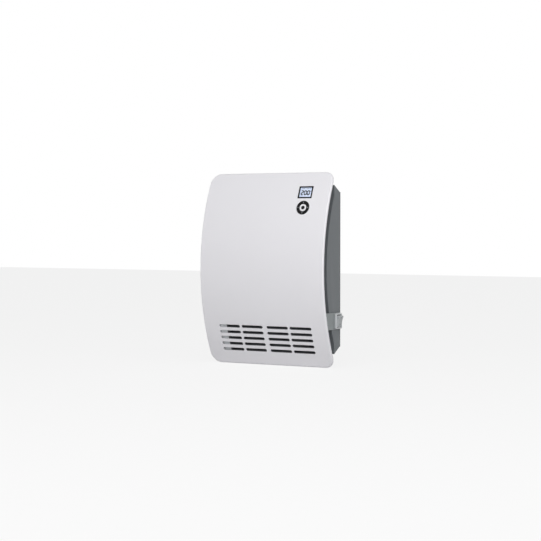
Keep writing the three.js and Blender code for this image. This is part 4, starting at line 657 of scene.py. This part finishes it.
# %% [markdown]
# The grey housing has a narrow rim where it meets the wall, a millimetre proud of its sides. Two bisect cuts
# round the copy give the rim its edge, and the points behind them move outwards. Inside its front edge a
# lip closes the step to the intake frame. The lip follows the bow of that edge, so it is cut into rows and
# moved onto the arc as the cover was, and stays straight where the housing's edge does.

# %% The housing and its rim
RIM_DEPTH, RIM_PROUD, RIM_SLOPE = 5 * MM, 1.2 * MM, 0.8 * MM
SIDE_WALLS = 140 * MM  # only the side walls lie further out than this
housing = merged_copy("rear_housing")
bpy.ops.object.mode_set(mode="EDIT")
for cut_y in (-RIM_DEPTH, RIM_SLOPE - RIM_DEPTH):
    bpy.ops.mesh.select_all(action="SELECT")
    bpy.ops.mesh.bisect(plane_co=(0, cut_y, 0), plane_no=(0, 1, 0))
bpy.ops.object.mode_set(mode="OBJECT")
for vertex in housing.data.vertices:
    if vertex.co.y > RIM_SLOPE / 2 - RIM_DEPTH and abs(vertex.co.x) > SIDE_WALLS:
        vertex.co.x += math.copysign(RIM_PROUD, vertex.co.x)
hand_over(rounded(housing, 0.5 * MM, 2, 35), "rear_housing")
print("housing with its rim:", len(housing.data.polygons), "faces")

# %% Its two lips
LIP_IN, LIP_OUT, LIP_END, LIP_THICK = 140.4 * MM, 144.8 * MM, 201 * MM, 1.6 * MM
HOUSING_SETBACK, HOUSING_END_Y, BEHIND_EDGE = 64 * MM, -33 * MM, 0.6 * MM
lips = []
for side in (-1, 1):
    low_x, high_x = sorted((side * LIP_IN, side * LIP_OUT))
    lip = block("housing_lip", (low_x, 0, -LIP_END), (high_x, LIP_THICK, LIP_END), 0.4 * MM)
    bpy.ops.object.mode_set(mode="EDIT")
    cut_into_rows()
    bpy.ops.object.mode_set(mode="OBJECT")
    for vertex in lip.data.vertices:
        vertex.co.y += min(bow_y(vertex.co.z, HOUSING_SETBACK), HOUSING_END_Y) + BEHIND_EDGE
    lips.append(lip)
hand_over(joined(lips, "housing_lips"), slot="grey_plastic", body="heater_body")
print("lips on the housing:", len(lips))

# %% [markdown]
# The keys, the console and the rocker are what a hand or an eye meets first, so their edges are rounder and
# have more segments. The white ring of the keypad stands up like half a bead.

# %% Keys, console and rocker
for node in ("key_up", "key_right", "key_down", "key_left", "key_centre"):
    softened(node, 0.4 * MM, 3, 50)
softened("key_ring", 0.8 * MM, 4, 50)
softened("switch_console", 1.5 * MM, 4, 40)
rocker = softened("switch_rocker", 0.8 * MM, 3, 30)
rocker.data.materials[0] = moulded_plastic("satin_moulded_polyamide_grey", 0xB9BDBF, 0.45, 0.7, 0.02)
print("keys, console and rocker done")

# %% [markdown]
# The grille behind the slots and the mat behind the keys are mostly in shadow. The grille's louvres are thin,
# so their edges are rounded by a hair only, and so are those of the mat, the screen and the screws.

# %% Grille, mat, screen and screws
softened("outlet_grille", 0.2 * MM, 1, 50)
softened("key_mat", 0.2 * MM, 1, 50)
softened("lcd_screen", 0.2 * MM, 2, 50)
for screws, count in (("cover_screw_", 2), ("frame_screw_", 4)):
    for number in range(1, count + 1):
        softened(screws + str(number), 0.2 * MM, 2, 40)
print("grille, mat, screen and screws done")

# %% [markdown]
# ## What the display shows
# A display of this kind draws its digits with seven bars. One bar is modelled as a flat strip with pointed
# ends, and copied to each place. The digits of a real display lie inside the glass. Here they lie on it, as
# bars a tenth of a millimetre thick. They show a plain room temperature, with a short row of status bars
# above.

# %% A material for the digits, and one bar
material, shader, place = start_material("etched_liquid_crystal_digits", 0x141C2C, 0.3)
depth = add_node(material, "TexNoise", {"Vector": place, "Scale": 300, "Detail": 2})
set_ramp(material, shader, depth.outputs["Fac"], 0x0E1420, 0x1A2436)
materials["digits"] = material

BAR_THICK = 0.1 * MM


def thicken(thickness):
    """Pulls the flat shape that is open in Edit Mode out towards -Y, and leaves Edit Mode."""
    bpy.ops.mesh.select_all(action="SELECT")
    bpy.ops.mesh.extrude_region_move(TRANSFORM_OT_translate={"value": (0, -thickness, 0)})
    bpy.ops.mesh.select_all(action="SELECT")
    bpy.ops.mesh.normals_make_consistent(inside=False)
    bpy.ops.object.mode_set(mode="OBJECT")


def flat_bar(length, width, point=0.49):
    """A flat strip along X in front of y = 0; each corner is cut off by this share of the width."""
    bpy.ops.object.select_all(action="DESELECT")
    bpy.ops.mesh.primitive_plane_add(size=1, rotation=FACING_FRONT)
    strip = bpy.context.object
    strip.scale = (length, width, 1)
    apply_all(strip)
    bpy.ops.object.mode_set(mode="EDIT")
    bpy.ops.mesh.select_all(action="SELECT")
    bpy.ops.mesh.bevel(offset=width * point, segments=1, affect="VERTICES")
    thicken(BAR_THICK)
    return strip


# %% Where the bars go
DIGIT_WIDTH, DIGIT_HEIGHT, STROKE = 5.1 * MM, 10.2 * MM, 2.8 * MM
DIGITS_DOWN, OVERLAP, BEHIND_FACE = 1.2 * MM, 0.6 * MM, 0.78 * MM
LIT = {
    "2": "top upper_right middle lower_left bottom",
    "0": "top upper_left upper_right lower_left lower_right bottom",
}
PLACE = {  # half widths to the side, half heights up, and the turn in degrees
    "top": (0, 1, 0), "middle": (0, 0, 0), "bottom": (0, -1, 0),
    "upper_left": (-1, 0.5, 90), "upper_right": (1, 0.5, 90),
    "lower_left": (-1, -0.5, 90), "lower_right": (1, -0.5, 90),
}
screen = on_face(CONTROL_X, LCD_Z) @ Matrix.Translation((0, BEHIND_FACE, 0))


def bars_at(strip, spots):
    """Copies of the strip at (x, z, turn in degrees) on the screen; the strip itself goes."""
    copies = []
    for x, z, turn in spots:
        turned = Matrix.Rotation(math.radians(turn), 4, "Y")
        copies.append(copy_at(strip, screen @ Matrix.Translation((x, 0, z)) @ turned))
    bpy.data.objects.remove(strip)
    return copies


# %% Digits, degree sign and status bars
flat, tall = [], []
for digit, x in (("2", -8.9 * MM), ("0", -0.5 * MM), ("0", 7.9 * MM)):
    for lit in LIT[digit].split():
        side, level, turn = PLACE[lit]
        spot = (x + side * DIGIT_WIDTH / 2, level * DIGIT_HEIGHT / 2 - DIGITS_DOWN, turn)
        (tall if turn else flat).append(spot)
shown = bars_at(flat_bar(DIGIT_WIDTH + OVERLAP, STROKE), flat)
shown += bars_at(flat_bar(DIGIT_HEIGHT / 2 + OVERLAP, STROKE), tall)

POINT_X, POINT_SIZE = 3.7 * MM, 1.2 * MM
low, high = -DIGIT_HEIGHT / 2 - DIGITS_DOWN, DIGIT_HEIGHT / 2 - DIGITS_DOWN
shown += bars_at(flat_bar(POINT_SIZE, POINT_SIZE, 0.2), [(POINT_X, low, 0)])

DEGREE_LEFT, DEGREE_X, DEGREE_RIGHT = 12.8 * MM, 13.8 * MM, 14.8 * MM
degree = [
    (DEGREE_X, high, 0), (DEGREE_X, high - 2 * MM, 0),
    (DEGREE_LEFT, high - MM, 90), (DEGREE_RIGHT, high - MM, 90),
]
shown += bars_at(flat_bar(2.2 * MM, 0.6 * MM), degree)

STATUS_Z = 9.6 * MM
shown += bars_at(flat_bar(3.2 * MM, 1.1 * MM, 0.2), [(x * MM, STATUS_Z, 0) for x in (-9, -4.6, 2.4, 6.8)])
shown += bars_at(flat_bar(1.6 * MM, 1.6 * MM, 0.3), [(11.6 * MM, STATUS_Z, 45)])
hand_over(joined(shown, "display_digits"), slot="black_gloss", body="heater_body", finish="digits")
print("display shows", len(shown), "bars")

# %% [markdown]
# Each of the four outer keys carries a small grey mark that points away from the middle. It is a printed
# triangle, made upright and turned to its place, and it moves with its key.

# %% Printing inks
def printed_ink(name, middle, thin, full):
    """Pad-printed ink: a little uneven where the soft pad pressed it on."""
    material, shader, place = start_material(name, middle, 0.45)
    ink_cover = add_node(material, "TexNoise", {"Vector": place, "Scale": 900, "Detail": 2})
    set_ramp(material, shader, ink_cover.outputs["Fac"], thin, full)
    return material


materials["grey_ink"] = printed_ink("pad_printed_ink_grey", 0x9EA2A6, 0x8C9094, 0xABAFB3)
materials["dark_ink"] = printed_ink("pad_printed_ink_dark", 0x3C4044, 0x4A4E52, 0x303438)
print("inks:", materials["grey_ink"].name, materials["dark_ink"].name)


# %% A flat shape with corners
def disc(name, radius, corners):
    """A flat shape with that many corners at the origin, facing the front and open in Edit Mode."""
    bpy.ops.object.select_all(action="DESELECT")
    bpy.ops.mesh.primitive_circle_add(
        vertices=corners, radius=radius, fill_type="NGON", rotation=FACING_FRONT,
    )
    piece = bpy.context.object
    piece.name = name
    apply_all(piece)
    bpy.ops.object.mode_set(mode="EDIT")
    bpy.ops.mesh.select_all(action="SELECT")
    return piece


# %% Marks on the keys
MARK_RADIUS, MARK_PLACE, MARK_CORNER = 1.7 * MM, 13.2 * MM, 0.25 * MM
MARK_THICK, MARK_FRONT = 0.05 * MM, 0.41 * MM
for key, turn in (("key_up", 0), ("key_right", 90), ("key_down", 180), ("key_left", 270)):
    mark = disc("mark_" + key, MARK_RADIUS, 3)
    bpy.ops.mesh.bevel(offset=MARK_CORNER, segments=2, affect="VERTICES")
    thicken(MARK_THICK)
    outward = Matrix.Translation((0, -MARK_FRONT, MARK_PLACE))
    turned = Matrix.Rotation(math.radians(turn), 4, "Y")
    mark.data.transform(on_face(CONTROL_X, KEYS_Z) @ (turned @ outward))
    hand_over(mark, slot="grey_plastic", body=body_of[key], finish="grey_ink")
print("marks on four keys")

# %% [markdown]
# A mains rocker carries a bar for on and a ring for off. Its face is hollow and tilted, so a ray is cast at
# the rocker from the right, and each mark is laid on the point that it hits, square to the surface there.

# %% Bar and ring on the rocker
def ring_mark(radius, line):
    """A flat ring in front of y = 0: a disc with its middle inset and taken out."""
    ring = disc("ring", radius, 40)
    bpy.ops.mesh.inset(thickness=line)
    bpy.ops.mesh.delete(type="FACE")
    thicken(BAR_THICK)
    return ring


MARK_LEVEL, MARK_PROUD, RAY_START = 8.5 * MM, 0.06 * MM, 50 * MM
rocker_low, rocker_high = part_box("switch_rocker")
rocker_middle = (rocker_low + rocker_high) / 2
on_mark, off_mark = flat_bar(4.4 * MM, 0.9 * MM, 0.2), ring_mark(2.1 * MM, 0.7 * MM)
for mark, level in ((on_mark, MARK_LEVEL), (off_mark, -MARK_LEVEL)):
    start = Vector((rocker_high.x + RAY_START, rocker_middle.y, rocker_middle.z + level))
    spot, out_of_face = rocker.ray_cast(start, Vector((-1, 0, 0)))[1:3]
    along = Vector((0, 1, 0)).cross(out_of_face).normalized()
    turned = Matrix((along, -out_of_face, along.cross(-out_of_face))).transposed().to_4x4()
    mark.data.transform(Matrix.Translation(spot + MARK_PROUD * out_of_face) @ turned)
    print("mark laid on the rocker at", [round(c / MM, 1) for c in spot], "mm")
rocker_marks = joined([on_mark, off_mark], "mark_switch_rocker")
hand_over(rocker_marks, slot="grey_plastic", body=body_of["switch_rocker"], finish="dark_ink")

# %% [markdown]
# ## Floor, backdrop and light
# The heater is shown on a plain white ground. The floor must look white and still keep the shadow, so for
# the camera its material is mostly white glow, with a little plain diffuse paint that takes the shadow. The
# world is white only where the camera or a reflection sees it, and a dim grey as a light, a little darker
# from below.

# %% Floor
def seen_by_eye(owner):
    """1 on a path from the camera, straight, by a reflection or through glass, and 0 for other light."""
    rays = add_node(owner, "LightPath").outputs
    seen = rays["Is Camera Ray"]
    for kind in ("Is Glossy Ray", "Is Transmission Ray"):
        seen = add_node(owner, "Math", {0: seen, 1: rays[kind]}, operation="MAXIMUM").outputs[0]
    return seen


FLOOR_SIZE, FLOOR_GAP, GLOW_SHARE = 12, 0.5 * MM, 0.85
bpy.ops.object.select_all(action="DESELECT")
bpy.ops.mesh.primitive_plane_add(size=FLOOR_SIZE, location=(0, 0, -HEIGHT / 2 - FLOOR_GAP))
floor = bpy.context.object
floor.name = "studio_floor"
material, shader, place = start_material("matt_studio_floor_white", 0xCCCCCC, 0.9)
grain = add_node(material, "TexNoise", {"Vector": place, "Scale": 40, "Detail": 2})
set_ramp(material, shader, grain.outputs["Fac"], 0xC8C8C8, 0xD0D0D0)
glow = add_node(material, "Emission", {"Color": (1, 1, 1, 1), "Strength": 1.0})
share = add_node(material, "Math", {0: seen_by_eye(material), 1: GLOW_SHARE}, operation="MULTIPLY")
mix = add_node(material, "MixShader", {0: share.outputs[0], 1: shader.outputs[0], 2: glow.outputs[0]})
set_input(material, material.node_tree.nodes["Material Output"], "Surface", mix.outputs[0])
floor.data.materials.append(material)

# %% World
LIGHT_BELOW, LIGHT_ABOVE = 0.07, 0.28
world = bpy.data.worlds.new("studio")
bpy.context.scene.world = world
world.use_nodes = True
backdrop = world.node_tree.nodes["Background"]
backdrop.inputs["Color"].default_value = (1, 1, 1, 1)
sky = add_node(world, "Background")
direction = add_node(world, "TexCoord")
height = add_node(world, "SeparateXYZ", {0: direction.outputs["Generated"]})
level = add_node(
    world, "MapRange",
    {"Value": height.outputs["Z"], "From Min": -0.6, "From Max": 0.6,
     "To Min": LIGHT_BELOW, "To Max": LIGHT_ABOVE},
)
set_input(world, sky, "Strength", level.outputs["Result"])
mix = add_node(world, "MixShader", {0: seen_by_eye(world), 1: sky.outputs[0], 2: backdrop.outputs[0]})
set_input(world, world.node_tree.nodes["World Output"], "Surface", mix.outputs[0])


# %% Lamps
def softbox(name, azimuth, elevation, size, power, distance=3.0):
    """An area lamp that looks at the heater; azimuth 0 is straight in front, 90 on its right side."""
    a, e = math.radians(azimuth), math.radians(elevation)
    spot = Vector((math.sin(a) * math.cos(e), -math.cos(a) * math.cos(e), math.sin(e))) * distance
    bpy.ops.object.light_add(type="AREA", location=spot)
    lamp = bpy.context.object
    lamp.name = name
    lamp.data.shape = "DISK"
    lamp.data.size = size
    lamp.data.energy = power
    lamp.rotation_euler = (-spot).to_track_quat("-Z", "Y").to_euler()


softbox("key", azimuth=12, elevation=32, size=2.4, power=40)
softbox("fill", azimuth=60, elevation=18, size=2.8, power=34)
bpy.context.scene.view_settings.view_transform = "Standard"
